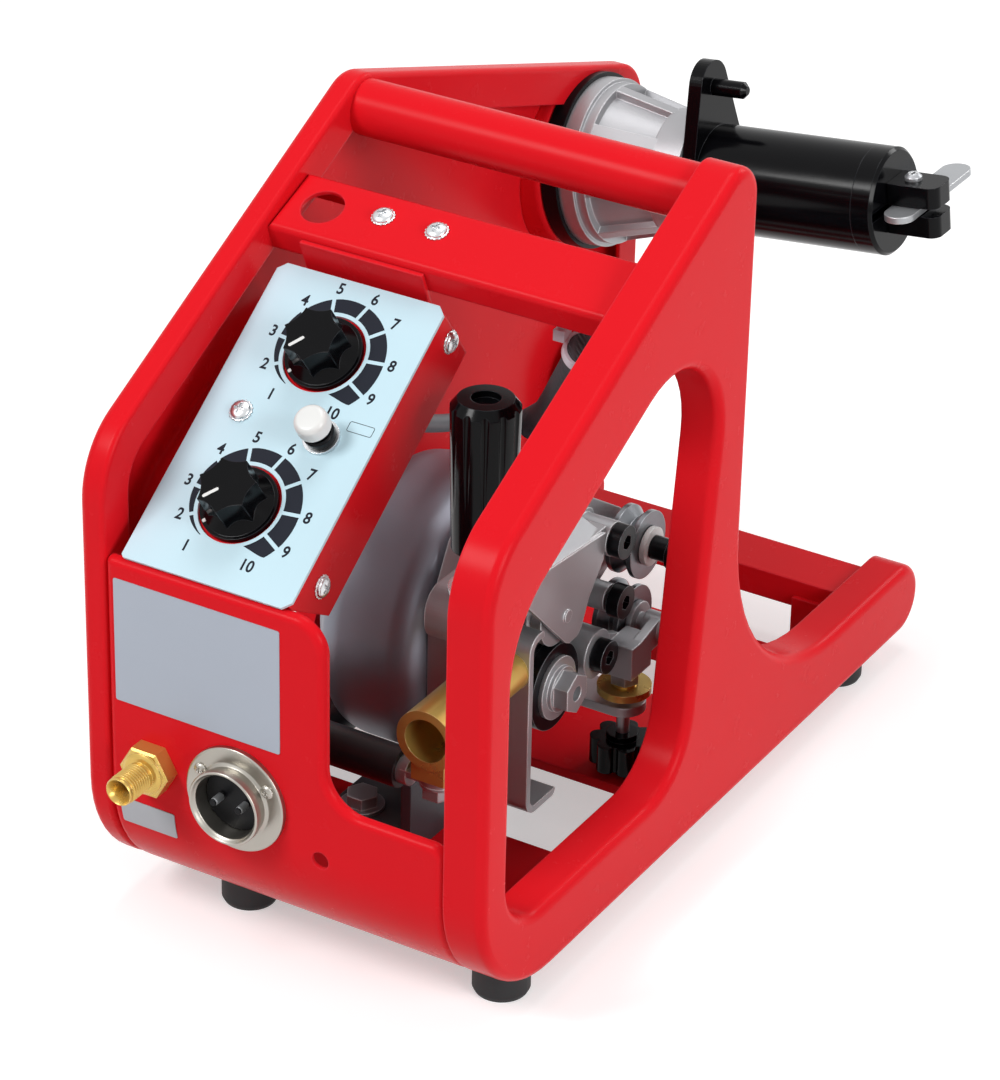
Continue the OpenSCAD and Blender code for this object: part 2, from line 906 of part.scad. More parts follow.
module button_cap() {
    color("white")
        on_plate()
            translate([button_spot.x, button_spot.y, 0]) {
                translate([0, 0, 7])
                    cylinder(r = button_r, h = 8);
                translate([0, 0, 15])
                    cylinder(r1 = button_r, r2 = button_r - 1.6, h = 2);
                translate([0, 0, -6])
                    cylinder(r = 3.2, h = 14);
            }
}

module button_body() {
    color(steel)
        on_plate()
            translate([button_spot.x, button_spot.y, 0])
                difference() {
                    union() {
                        cylinder(r = 8, h = 1.6);
                        translate([0, 0, 1.6])
                            cylinder(r = 6, h = 1.4);
                        translate([0, 0, -16])
                            cylinder(r = 6, h = 16);
                    }
                    translate([0, 0, -10])
                        cylinder(r = 3.2 + fit, h = 20);
                }
}

module labels() {
    t = 0.6;
    color("#c9ccd2")
        block([-81, front_y - t, 114.5], [0.5, front_y, 172.5]);
    color("#8d8f93")
        intersection() {
            difference() {
                x_cylinder(-80.3, 27.5, front_y + low_r, panel_low_z, low_r + t);
                x_cylinder(-81, 29, front_y + low_r, panel_low_z, low_r);
            }
            block([-81, front_y - t, 53.7], [-52, front_y + 9, 66.9]);
        }
}

// Pan-head screws of the beam, the box's side and the faceplate
module pan_screws() {
    head = 8;
    color(chrome) {
        on_beam()
            for (x = beam_bolts)
                translate([x, beam_w * 0.6, 0]) {
                    pan_head(head);
                    translate([0, 0, -6])
                        cylinder(r = 2, h = 6.5);
                }
        on_plate() {
            for (y = [20, plate_l - 7])
                translate([plate_w - box_in, y, -box_d / 2])
                    rotate([0, 90, 0])
                        pan_head(head);
            translate([18, 76.6, 0])
                pan_head(head);
        }
    }
}

// ---------------------------------------------------------------- front fittings

flange_t = 2.5;

module socket_shell() {
    color(chrome)
        difference() {
            union() {
                y_cylinder(socket_x, front_y - flange_t, flange_t, socket_z, socket_d / 2);
                y_cylinder(socket_x, front_y - collar_l, collar_l + 18, socket_z, collar_d / 2 - 1.2);
                y_cylinder(socket_x, front_y - collar_l, 4, socket_z, collar_d / 2);
            }
            y_cylinder(socket_x, front_y - collar_l - eps, collar_l + 30, socket_z, collar_d / 2 - 3);
            for (turn = [30, 150, 270])
                y_cylinder(
                    socket_x + 19 * cos(turn), front_y - 5 * flange_t, 10 * flange_t, socket_z + 19 * sin(turn), 1.6
                );
        }
}

module socket_insert() {
    pins = 2;
    pin_reach = 6.2;
    color(black)
        y_cylinder(socket_x, front_y - 2, 18, socket_z, collar_d / 2 - 3);
    color(chrome)
        for (i = [0:pins - 1])
            y_cylinder(
                socket_x + pin_reach * cos(i * 360 / pins), front_y - 9, 8, socket_z, 1.5
            );
}

module socket_screws() {
    color(chrome)
        for (turn = [30, 150, 270])
            translate([socket_x + 19 * cos(turn), front_y - flange_t, socket_z + 19 * sin(turn)])
                rotate([90, 0, 0]) {
                    pan_head(5.4);
                    translate([0, 0, -6])
                        cylinder(r = 1.5, h = 6.2);
                }
}

module gas_fitting() {
    hex_t = 8;
    bore_r = 3.2;
    color(brass)
        translate([gas_x, front_y, gas_z])
            rotate([90, 0, 0])
                difference() {
                    union() {
                        hex(gas_hex, hex_t);
                        cylinder(r = gas_d / 2 - 1, h = hex_t + 4);
                        translate([0, 0, hex_t + 3])
                            cylinder(d = gas_d, h = gas_l - hex_t - 3);
                        translate([0, 0, -18])
                            cylinder(r = 6.8, h = 20);
                        translate([0, 0, -sheet - 4])
                            hex(17, 4);
                    }
                    translate([0, 0, -20])
                        cylinder(r = bore_r, h = 60);
                    translate([0, 0, gas_l - 4])
                        cylinder(r1 = bore_r, r2 = gas_d / 2 - 1, h = 4.01);
                }
}

// ---------------------------------------------------------------- motor and gearbox

motor_x0 = -70;
motor_x1 = box_x;

module motor_housing() {
    r = motor_d / 2;
    cap_r = r * 0.69;
    color(cast_grey)
        translate([0, motor_y, motor_z])
            rotate([0, 90, 0])
                rotate_extrude($fn = 96)
                    difference() {
                        polygon([
                            [motor_shaft_r + fit, motor_x0], [cap_r - 4, motor_x0], [cap_r, motor_x0 + 4],
                            [cap_r + 2, motor_x0 + 14], [r - 7, motor_x0 + 17], [r - 2, motor_x0 + 21],
                            [r, motor_x0 + 27], [r, motor_x1 - 12], [r - 3, motor_x1 - 5], [r - 9, motor_x1],
                            [motor_shaft_r + fit, motor_x1]
                        ]);
                        translate([0, motor_x0 + 10])
                            square([cap_r - 4, 8]);
                        translate([0, motor_x0 + 22])
                            square([r - 6, motor_x1 - motor_x0 - 32]);
                    }
}

module motor_rotor() {
    color(steel)
        translate([0, motor_y, motor_z]) {
            x_cylinder(motor_x0 + 2, 18 - motor_x0, 0, 0, motor_shaft_r);
            x_cylinder(motor_x0 + 26, 20, 0, 0, motor_d / 2 - 10);
            translate([7, 0, 0])
                rotate([0, 90, 0])
                    gear(pinion_n, 10, motor_shaft_r - 0.5, 90 + gear_tilt + 180 / pinion_n);
        }
}

module motor_bracket() {
    base_t = 6;
    z0 = floor_z + 2.7;
    color("#3c3d41") {
        block([-40, 48, z0], [8, 120, z0 + base_t]);
        block([3, 48, z0], [8, 140, gearbox_low_z]);
    }
}

gearbox_low_z = 54;
gearbox_top_z = 150;
gearbox_front_y = feed_y - gear_m * (gear_n / 2 + 1) - 3.4;
gearbox_back_y = 162;

module gearbox_housing() {
    wall = 4;
    color(cast_grey)
        difference() {
            along_x(box_x, box_lid_x - box_x)
                outline([
                    [gearbox_front_y, gearbox_low_z, 4], [gearbox_back_y, gearbox_low_z, 6],
                    [gearbox_back_y, gearbox_top_z, 8], [gearbox_front_y + 18, gearbox_top_z, 8],
                    [gearbox_front_y, wire_z + 12, 8]
                ]);
            for (p = [[feed_y, feed_z, gear_m * (gear_n / 2 + 1) + 1], [motor_y, motor_z, gear_m * (pinion_n / 2 + 1) + 1]])
                x_cylinder(box_x + wall, box_lid_x - box_x, p[0], p[1], p[2]);
            x_cylinder(box_x - eps, 40, motor_y, motor_z, motor_shaft_r + fit);
            x_cylinder(box_x + 1.5, 40, feed_y, feed_z, 5 + fit);
        }
}

// Boss on the lid that reaches out to a bolt head or a roller
module lid_boss(spot, r, bore_r, end_x) {
    difference() {
        x_cylinder(box_lid_x, end_x - box_lid_x, spot.x, spot.y, r);
        x_cylinder(box_lid_x - eps, 60, spot.x, spot.y, bore_r);
    }
}

module gearbox_lid() {
    pin_r = 4;
    color(cast_grey) {
        difference() {
            union() {
                along_x(box_lid_x, lid_t)
                    outline([
                        [gearbox_front_y, gearbox_low_z, 4], [gearbox_back_y, gearbox_low_z, 6],
                        [gearbox_back_y, 94, 6], [top_spot.x + 9, top_spot.y - 9, 8],
                        [top_spot.x + 9, top_spot.y + 9, 8], [gearbox_back_y, gearbox_top_z, 8],
                        [gearbox_front_y, gearbox_top_z, 8]
                    ]);
                difference() {
                    along_x(box_x + 18, lid_x - box_x - 18)
                        outline([
                            [rod_y - 11, rod_pivot_z - 11, 10.9], [gearbox_front_y + 2, rod_pivot_z - 22, 0],
                            [gearbox_front_y + 2, rod_pivot_z + 11, 0], [rod_y - 11, rod_pivot_z + 11, 10.9]
                        ]);
                    block([0, gearbox_front_y, 100], [box_lid_x, 100, 200]);
                }
                block([box_lid_x, adjust_y - 10, 52.5], [adjust_x, adjust_y + 10, 57]);
                translate([adjust_x, adjust_y, 52.5])
                    cylinder(r = 10, h = 4.5);
            }
            x_cylinder(0, 60, feed_y, feed_z, drive_r + fit);
            x_cylinder(0, 60, motor_y, motor_z, motor_shaft_r + 1);
            x_cylinder(0, 60, rod_y, rod_pivot_z, 4 + fit);
            for (p = [arm_pivot, bolt_b, lever_pivot, top_spot])
                x_cylinder(0, 60, p.x, p.y, pin_r);
            translate([adjust_x, adjust_y, 50])
                cylinder(r = adjust_d / 2 + fit, h = 10);
        }
        lid_boss(bolt_b, 6.5, pin_r, head_x - 2);
        lid_boss(top_spot, 7, pin_r, roller_x0 - gap);
    }
}

module drive_shaft() {
    color(steel)
        translate([0, feed_y, feed_z]) {
            x_cylinder(box_x + 2, 14, 0, 0, 5);
            x_cylinder(7, roller_x1 - 7, 0, 0, drive_r);
            translate([7, 0, 0])
                rotate([0, 90, 0])
                    gear(gear_n, 10, 5, 90 + gear_tilt);
        }
}

module feed_roller() {
    color(black)
        translate([roller_x0, feed_y, feed_z])
            grooved(feed_d, roller_w, 1.2, drive_r);
}

module roller_bolt() {
    washer_t = 2;
    color(chrome)
        translate([roller_x1, feed_y, feed_z])
            rotate([0, 90, 0])
                difference() {
                    union() {
                        cylinder(d = 29, h = washer_t);
                        cylinder(d = 21, h = 2 * washer_t);
                        translate([0, 0, 2 * washer_t])
                            hex(16.5, 7);
                    }
                    translate([0, 0, 2 * washer_t + 3])
                        cylinder(r = 3.5, h = 8);
                }
}

// Hexagon bolts: the motor bracket's and the torch adapter's
module hex_bolts() {
    base_z = floor_z + 8.7;
    color(steel) {
        translate([-27, 64, base_z]) {
            cylinder(r = 10, h = 1.6);
            hex(13, 7);
        }
        translate([wire_x, adapter_y + 11, lug_z - 7]) {
            hex(13, 5.4);
            translate([0, 0, 5.4])
                cylinder(r = 8, h = 1.6);
            cylinder(r = 4, h = 18);
        }
    }
}

// Tinned lug crimped on the power cable, under the adapter
module cable_lug() {
    end = power_route[0];
    color(chrome)
        difference() {
            union() {
                x_cylinder(end.x, 5, end.y, end.z, 6.5);
                block([end.x + 2, adapter_y + 5, lug_z], [wire_x, adapter_y + 17, lug_z + lug_t]);
                translate([wire_x, adapter_y + 11, lug_z])
                    cylinder(r = 8, h = lug_t);
            }
            translate([wire_x, adapter_y + 11, lug_z - eps])
                cylinder(r = 4.1, h = 10);
        }
}

// Black socket-head bolts with their shanks in the lid
module cap_bolts() {
    shank_r = 4 - fit;
    color(black) {
        for (p = [arm_pivot, bolt_b, lever_pivot]) {
            translate([head_x, p.x, p.y])
                socket_head();
            x_cylinder(box_lid_x, head_x - box_lid_x, p.x, p.y, shank_r);
        }
        translate([56, top_spot.x, top_spot.y])
            socket_head();
        x_cylinder(box_lid_x, 56 - box_lid_x, top_spot.x, top_spot.y, shank_r);
        x_cylinder(roller_x1 + 3, 12, top_spot.x, top_spot.y, 5.5);
    }
}

adapter_neck_y = 50;
lug_z = 81.5;                                  // underside of the cable lug
lug_t = 3;

module torch_adapter() {
    neck_r = 9;
    end_y = feed_y - feed_d / 2 + 4;
    color(brass)
        difference() {
            union() {
                y_cylinder(wire_x, adapter_y, adapter_neck_y - adapter_y, wire_z, adapter_d / 2);
                y_cylinder(wire_x, adapter_neck_y, gearbox_front_y - adapter_neck_y, wire_z, neck_r);
                y_cylinder(wire_x, gearbox_front_y, end_y - gearbox_front_y, wire_z, 3.5);
                block(
                    [wire_x - 8, adapter_y + 2, lug_z + lug_t], [wire_x + 8, adapter_y + 20, wire_z - adapter_d / 4]
                );
            }
            y_cylinder(wire_x, adapter_y - eps, adapter_neck_y - adapter_y - 4, wire_z, adapter_bore / 2);
            y_cylinder(wire_x, adapter_y, 200, wire_z, 1.5);
            translate([wire_x, adapter_y + 11, lug_z])
                cylinder(r = 4.1, h = 12);
        }
}

// C-shaped strap in front of the feed roller, which holds the adapter's neck
module feed_guard() {
    y0 = gearbox_front_y - guard_t;
    hook_r = 8;
    color(steel)
        difference() {
            along_x(8, 39)
                difference() {
                    outline([
                        [y0, 34, hook_r], [y0 + 25, 34, 3], [y0 + 25, 40, 2], [y0 + 9, 40, 2],
                        [y0 + 9, 112, 2], [y0 + 12, 118, 2], [y0 + 12, 123, 2], [y0, 123, hook_r]
                    ]);
                    outline([
                        [y0 + guard_t, 34 + guard_t, hook_r - guard_t], [y0 + 26, 34 + guard_t, 0],
                        [y0 + 26, 60, 0], [y0 + 14, 60, 0], [y0 + 14, 123 - guard_t, 0],
                        [y0 + guard_t, 123 - guard_t, hook_r - guard_t]
                    ]);
                }
            block([0, gearbox_front_y, 50], [lid_x + gap, 100, 200]);
            block([0, y0 - eps, rod_pivot_z - 22.5], [lid_x + gap, 100, 200]);
            y_cylinder(wire_x, y0 - eps, 3 * guard_t, wire_z, 9 + fit);
        }
}

// ---------------------------------------------------------------- pressure arm

arm_front_y = rod_y + 4.6;

// Bent sheet: the side plate, the sloping top and the tongue under the spring seat
module pressure_arm() {
    color(steel) {
        along_x(plate_in_x, arm_t)
            polygon([
                [76, 153], [73, 144.5], [110, 107.5], [113, 106], [120, 106.5], [123, 109],
                [129, 121], [141, 134.5], [142, 147]
            ]);
        translate([0, 76, 153])
            rotate([-5.2, 0, 0])
                along_y(1, 63)
                    polygon([
                        [plate_in_x + 0.4, -1.4 * arm_t], [28, 9 - arm_t], [28, 9], [plate_in_x + 1.6, 0.6],
                        [plate_in_x + 1.6, -1.4 * arm_t]
                    ]);
        difference() {
            block([26.8, arm_front_y, seat_z - 2.4 - gap], [plate_in_x + 1, 90, seat_z - gap]);
            translate([rod_x, rod_y, seat_z - 5])
                cylinder(r = rod_d / 2 + 0.9, h = 10);
        }
        difference() {
            along_x(27, 3.6)
                outline([
                    [84, 146, 3], [press_y - 2, press_z - 6, 5], [press_y + 12, press_z - 6, 5],
                    [arm_pivot.x - 2, arm_pivot.y - 8, 4], [arm_pivot.x + 9, arm_pivot.y - 8, 7],
                    [arm_pivot.x + 9, arm_pivot.y + 8, 7], [100, 160, 3], [84, 152.5, 2]
                ]);
            x_cylinder(0, 60, arm_pivot.x, arm_pivot.y, 4 + fit);
        }
        difference() {
            x_cylinder(27.4, plate_in_x - 26.4, arm_pivot.x, arm_pivot.y, 8);
            x_cylinder(0, 60, arm_pivot.x, arm_pivot.y, 4 + fit);
        }
        block([30, 126, 145.6], [plate_in_x + 1, 144, 149]);
        x_cylinder(27.4, plate_in_x - 26.4, press_y, press_z, 4);
        x_cylinder(plate_in_x, arm_t + 1, press_y, press_z, 3);
    }
}

module pressure_roller() {
    color(steel)
        translate([roller_x0, press_y, press_z])
            grooved(press_d, roller_w - 1, 1.2, 4 + fit);
}

module pressure_rod() {
    color(chrome) {
        translate([rod_x, rod_y, rod_pivot_z])
            cylinder(d = rod_d, h = 88);
        difference() {
            x_cylinder(lid_x + gap, 13, rod_y, rod_pivot_z, 9);
            translate([0, 0, rod_pivot_z])
                block([lid_x, rod_y - 12, 9.5], [60, rod_y + 12, 20]);
        }
        x_cylinder(box_x + 19, lid_x + 2 - box_x - 19, rod_y, rod_pivot_z, 4);
    }
}

module spring_seat() {
    bore_r = rod_d / 2 + fit;
    color(chrome)
        translate([rod_x, rod_y, seat_z])
            difference() {
                union() {
                    cylinder(d = 29, h = 2.2);
                    cylinder(d = 17, h = handle_low_z - seat_z + 8);
                }
                translate([0, 0, -eps])
                    cylinder(r = bore_r, h = 60);
            }
}

module pressure_handle() {
    ribs = 12;
    bore_r = 8.5 + fit;
    color(black)
        translate([rod_x, rod_y, handle_low_z])
            difference() {
                rotate_extrude()
                    polygon([
                        [0, 0], [handle_turn_r - 1.5, 0], [handle_turn_r, press_handle_l - 4],
                        [handle_turn_r - 3, press_handle_l], [0, press_handle_l]
                    ]);
                for (i = [0:ribs - 1])
                    rotate([0, 0, i * 360 / ribs])
                        translate([handle_turn_r + 1.1, 0, 8])
                            cylinder(r = 2.2, h = press_handle_l);
                translate([0, 0, -eps])
                    cylinder(r = bore_r, h = 9.5);
                cylinder(r = rod_d / 2 + fit, h = press_handle_l - 8);
                translate([0, 0, press_handle_l - 3])
                    cylinder(r = handle_turn_r * 0.42, h = 4);
            }
}

// ---------------------------------------------------------------- straightener

module top_roller() {
    color("#6f7276")
        translate([roller_x0, top_spot.x, top_spot.y])
            grooved(straight_d, roller_w, 4.2, 4 + fit);
}

module low_roller() {
    color("#6f7276")
        translate([roller_x0, low_spot.x, low_spot.y])
            grooved(straight_d, roller_w, 4.2, 4 + fit);
}

// White washer beside the upper roller
module roller_washers() {
    color("white")
        difference() {
            x_cylinder(roller_x1 + gap, 2.6, top_spot.x, top_spot.y, 9);
            x_cylinder(roller_x1, 5, top_spot.x, top_spot.y, 4);
        }
}

block_x0 = roller_x1 + 1.5;
block_x1 = block_x0 + 13;

// Rocking lever: its hub, the block over the adjusting rod and the lower roller's axle
module straightener_lever() {
    hub_r = 11.4;
    block_low = lever_pivot.y - 15;
    color(steel) {
        difference() {
            union() {
                x_cylinder(lid_x + gap, head_x - lid_x - 2 * gap, lever_pivot.x, lever_pivot.y, hub_r);
                block(
                    [block_x0, lever_pivot.x + 9.5, block_low], [block_x1, adjust_y + 9, lever_pivot.y + 1]
                );
                along_x(block_x0 - 3.2, 3.2 + gap)
                    polygon([
                        [lever_pivot.x, lever_pivot.y - 6], [adjust_y + 2, block_low + 1],
                        [adjust_y + 2, lever_pivot.y + 1], [lever_pivot.x, lever_pivot.y + hub_r - 2]
                    ]);
            }
            x_cylinder(0, 60, lever_pivot.x, lever_pivot.y, 4 + fit);
            for (y = [-2.6, 0, 2.6])
                translate([adjust_x, adjust_y + y, block_low - eps])
                    cylinder(r = adjust_d / 2 + 0.7, h = 13 + eps);
            translate([adjust_x - adjust_d / 2 - 0.7, adjust_y - 2.6, block_low - eps])
                cube([adjust_d + 1.4, 5.2, 13 + eps]);
        }
        along_x(block_x1 - 4.5, 4.5)
            polygon([
                [adjust_y, lever_pivot.y - 8], [adjust_y + 9, lever_pivot.y - 8], [low_spot.x, low_spot.y - 6.5],
                [low_spot.x + 3, low_spot.y], [low_spot.x, low_spot.y + 6.5], [adjust_y, lever_pivot.y + 1]
            ]);
        difference() {
            x_cylinder(block_x1 - 8, 10, low_spot.x, low_spot.y, 6.5);
            x_cylinder(block_x1 - 1, 5, low_spot.x, low_spot.y, 3.6);
        }
        x_cylinder(roller_x0 - 2, block_x1 - roller_x0, low_spot.x, low_spot.y, 4);
    }
    color("white")
        x_cylinder(roller_x1 + gap, 2.6, low_spot.x, low_spot.y, 9);
}

star_low_z = 24;
star_h = 13;

module adjust_rod() {
    color(chrome) {
        translate([adjust_x, adjust_y, star_low_z + 5])
            cylinder(d = adjust_d, h = 53);
        translate([adjust_x, adjust_y, 66])
            hex(12, 4.6);
    }
}

module lock_disc() {
    color(brass)
        translate([adjust_x, adjust_y, 61])
            difference() {
                union() {
                    cylinder(d = disc_d, h = 3.5);
                    cylinder(d = disc_d * 0.45, h = 4.6);
                }
                translate([0, 0, -eps])
                    cylinder(r = adjust_d / 2 + fit, h = 10);
            }
}

module star_knob() {
    lobes = 7;
    lobe_r = 4.2;
    color(black)
        translate([adjust_x, adjust_y, star_low_z])
            difference() {
                union() {
                    linear_extrude(star_h) {
                        circle(d = star_d * 0.76);
                        for (i = [0:lobes - 1])
                            rotate(i * 360 / lobes)
                                translate([star_d / 2 - lobe_r, 0])
                                    circle(r = lobe_r);
                    }
                    cylinder(d = star_d * 0.5, h = star_h + 3);
                }
                translate([0, 0, 4.9])
                    cylinder(r = adjust_d / 2 + fit, h = star_h);
            }
}

// ---------------------------------------------------------------- spool hub

module hub_insulator() {
    color(black)
        on_hub(0)
            difference() {
                cylinder(r = ring_r, h = ring_t);
                translate([0, 0, -eps])
                    cylinder(r = 6, h = ring_t + 2 * eps);
            }
}

module hub_boss() {
    flange_r = 40;
    neck_r = 30;
    color(cast_grey)
        on_hub(ring_t)
            difference() {
                union() {
                    cylinder(r = flange_r, h = 8);
                    cylinder(r = flange_r - 2, h = 13);
                    translate([0, 0, 13])
                        cylinder(r1 = 34, r2 = neck_r - 3, h = 29);
                    translate([0, 0, 42])
                        cylinder(r = neck_r, h = boss_end - ring_t - 42);
                    for (turn = [0, 45, 90, 135])
                        rotate([0, 0, turn])
                            translate([0, 3, 0])
                                rotate([90, 0, 0])
                                    linear_extrude(6)
                                        polygon([
                                            [-flange_r + 2, 12], [flange_r - 2, 12], [neck_r, 43], [-neck_r, 43]
                                        ]);
                    cylinder(r = spindle_r, h = cap_s - latch_room - ring_t);
                }
                translate([0, 0, -eps])
                    cylinder(r = 5, h = 26);
            }
}

// Straight-sided arm from the hub to the pin, rounded at the pin
function arm_points(big, small, reach) =
    let (lean = asin((big - small) / reach))
    concat(
        [for (k = [0:arc_n * 2]) let (a = 90 - lean + (180 + 2 * lean) * k / (arc_n * 2)) big * [cos(a), sin(a)]],
        [
            for (k = [0:arc_n * 2])
                let (a = -90 + lean + (180 - 2 * lean) * k / (arc_n * 2))
                [reach, 0] + small * [cos(a), sin(a)]
        ]
    );

module hub_drum() {
    arm_t = drum_s - arm_s;
    color(black)
        on_hub(arm_s)
            difference() {
                union() {
                    rotate([0, 0, 180])
                        linear_extrude(arm_t)
                            polygon(arm_points(hub_d / 2 + 1, 12.5, pin_r));
                    translate([0, 0, arm_t - 1])
                        cylinder(d = hub_d, h = cap_s - drum_s + 1);
                    translate([-pin_r, 0, arm_t]) {
                        cylinder(d = pin_d, h = pin_l - pin_d / 4);
                        translate([0, 0, pin_l - pin_d / 4])
                            cylinder(d1 = pin_d, d2 = pin_d / 2, h = pin_d / 4);
                    }
                }
                translate([0, 0, -eps])
                    cylinder(r = spindle_r + fit, h = cap_s);
            }
}

slot_h = bar_t + 1;

module hub_cap() {
    sweep = bar_short + 1.5;
    color(black)
        on_hub(cap_s)
            difference() {
                union() {
                    cylinder(d = hub_d, h = cap_t - 1.5);
                    translate([0, 0, cap_t - 1.5])
                        cylinder(d1 = hub_d, d2 = hub_d - 3, h = 1.5);
                }
                translate([-slot_h / 2, -sweep, -eps])
                    cube([slot_h, sweep + bar_w / 2 + 1.5, 20]);
            }
}

module latch_clevis() {
    half_w = 9;
    color(black)
        on_hub(end_s)
            difference() {
                translate([-clevis_h / 2, 0, 0])
                    rotate([90, 0, 90])
                        linear_extrude(clevis_h)
                            outline([
                                [-half_w, 0, 1], [half_w, 0, 1], [half_w, clevis_end - end_s, 5],
                                [-half_w, clevis_end - end_s, 5]
                            ]);
                translate([-slot_h / 2, -20, -eps])
                    cube([slot_h, 40, 40]);
                translate([-20, 0, latch_s - end_s])
                    rotate([0, 90, 0])
                        cylinder(r = 2.6, h = 40);
            }
}

// Flat bar across the hub's end, from its short round end to its tip
module latch_bar() {
    color(chrome)
        on_hub(latch_s)
            translate([-bar_t / 2, 0, 0])
                rotate([90, 0, 90])
                    linear_extrude(bar_t)
                        difference() {
                            union() {
                                translate([-bar_short + bar_w / 2, -bar_w / 2])
                                    square([bar_short + bar_long - bar_w, bar_w]);
                                translate([-bar_short + bar_w / 2, 0])
                                    circle(d = bar_w);
                                translate([bar_long - bar_w / 2, 0])
                                    circle(d = bar_w);
                            }
                            circle(r = 2.5 + fit);
                        }
}

module latch_screw() {
    color(chrome)
        on_hub(latch_s)
            rotate([0, -90, 0]) {
                translate([0, 0, clevis_h / 2])
                    pan_head(8);
                translate([0, 0, -clevis_h / 2])
                    cylinder(r = 2.5, h = clevis_h + 1);
            }
}

// ---------------------------------------------------------------- leads

module power_cable() {
    color(black)
        lead(smooth(power_route, 2), power_r, 10);
}

module lead_cable() {
    color("#5b5d60")
        lead(smooth(lead_route, 2), lead_r, 8);
}

module harness_sleeve() {
    color("#1d1c1f")
        lead(smooth(sleeve_route, 2), sleeve_r, 12);
}

// Tie round the sleeve's end, its head beside it and its strap up in the beam
module cable_tie() {
    end = sleeve_route[6];
    along = unit(end - sleeve_route[5]);
    strap_y = 101.4;
    strap_top = beam_z + (strap_y - beam_y) * tan(beam_a) - sheet / cos(beam_a) - gap;
    color("#d8d4d6") {
        translate(end - 5 * along)
            rotate([0, acos(along.z), atan2(along.y, along.x)])
                difference() {
                    cylinder(r = sleeve_r + 1.7, h = 4.6);
                    translate([0, 0, -eps])
                        cylinder(r = sleeve_r + 0.2, h = 8);
                }
        block([42.6, 99, 256], [48, 105, 261]);
        block([43.4, strap_y, 260], [47, strap_y + 1.2, strap_top]);
    }
}

placed() side_frame_left();
placed() side_frame_right();
placed() front_panel();
placed() handle_tube();
placed() crossbeam();
placed() floor_plate();
placed() mid_plate();
placed() mid_bar();
placed() rear_bar();
placed() rear_bracket();
placed() feet();
placed() pan_screws();
placed() control_box();
placed() faceplate();
placed() on_dial(0) knob(dial_turns[0]);  // knob_upper
placed() on_dial(1) knob(dial_turns[1]);  // knob_lower
placed() pots();
placed() button_cap();
placed() button_body();
placed() labels();
placed() socket_shell();
placed() socket_insert();
placed() socket_screws();
placed() gas_fitting();
placed() motor_housing();
placed() motor_rotor();
placed() motor_bracket();
placed() gearbox_housing();
placed() gearbox_lid();
placed() drive_shaft();
placed() feed_roller();
placed() roller_bolt();
placed() hex_bolts();
placed() cap_bolts();
placed() torch_adapter();
placed() feed_guard();
placed() pressure_arm();
placed() pressure_roller();
placed() pressure_rod();
placed() spring_seat();
placed() pressure_handle();
placed() top_roller();
placed() roller_washers();
placed() straightener_lever();
placed() low_roller();
placed() adjust_rod();
placed() lock_disc();
placed() star_knob();
placed() hub_insulator();
placed() hub_boss();
placed() hub_drum();
placed() hub_cap();
placed() latch_clevis();
placed() latch_bar();
placed() latch_screw();
placed() power_cable();
placed() cable_lug();
placed() lead_cable();
placed() harness_sleeve();
placed() cable_tie();
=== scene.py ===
"""Visible pieces and finishes of a portable wire feeder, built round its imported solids.

Sizes are in millimetres in the working frame of the solids: X from the middle between the side frames,
Y from the front bend and Z from the floor. TO_ROW turns them into metres in the row's frame.
"""

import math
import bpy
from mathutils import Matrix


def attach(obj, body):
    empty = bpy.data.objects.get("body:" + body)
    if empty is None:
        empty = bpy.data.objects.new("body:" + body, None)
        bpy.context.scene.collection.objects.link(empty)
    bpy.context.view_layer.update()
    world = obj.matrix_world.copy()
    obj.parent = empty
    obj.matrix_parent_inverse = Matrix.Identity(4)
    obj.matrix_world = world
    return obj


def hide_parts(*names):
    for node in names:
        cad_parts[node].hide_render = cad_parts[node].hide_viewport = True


bl_info = {
    "name": "Wire feeder",
    "version": (1, 0, 0),
    "blender": (4, 5, 0),
    "location": "View3D > Sidebar > Wire feeder",
    "description": "Builds the visible pieces and finishes of a portable wire feeder",
    "category": "Object",
}

import bmesh
import bpy
from bpy.props import FloatProperty, FloatVectorProperty, PointerProperty
from mathutils import Matrix, Vector

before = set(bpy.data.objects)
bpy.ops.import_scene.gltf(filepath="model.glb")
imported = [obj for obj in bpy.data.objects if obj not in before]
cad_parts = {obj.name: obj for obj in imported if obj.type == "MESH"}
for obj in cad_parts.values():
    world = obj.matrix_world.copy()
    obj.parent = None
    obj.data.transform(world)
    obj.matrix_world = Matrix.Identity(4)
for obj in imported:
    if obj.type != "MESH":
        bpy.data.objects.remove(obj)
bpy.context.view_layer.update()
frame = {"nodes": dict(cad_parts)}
SOLIDS = frame["nodes"]
ROW_ORIGIN = Vector((2.575, 169.0, 0.0))
TO_ROW = Matrix.Scale(0.001, 4) @ Matrix.Translation(-ROW_ORIGIN)

# Side frames
FRAME_HALF = 98.0
SHEET = 2.0
RIGHT_RIM, LEFT_RIM, LIP_W = 19.0, 12.5, 18.0
RIGHT_IN, LEFT_IN = FRAME_HALF - RIGHT_RIM, -FRAME_HALF + LEFT_RIM
FOOT_H, FRONT_Y = 13.3, -41.5
SLOPE, SLOPE_Z = math.tan(math.radians(27.0)), 247.3
FALL = math.tan(math.radians(18.3))
BEND_R, LOW_R, MAST_Y, APEX_R = 39.5, 57.0, 171.5, 15.5
BEND_Z = FOOT_H + LOW_R
TAIL_Y, TAIL_H, SWEEP_R = 361.8, 35.2, 100.0
BACK_Y, BACK_Z = 405.0, 242.5
POST_Y, POST_Z, LEFT_TAIL_Y, LEFT_TAIL_H = 352.0, 102.0, 382.0, 19.7

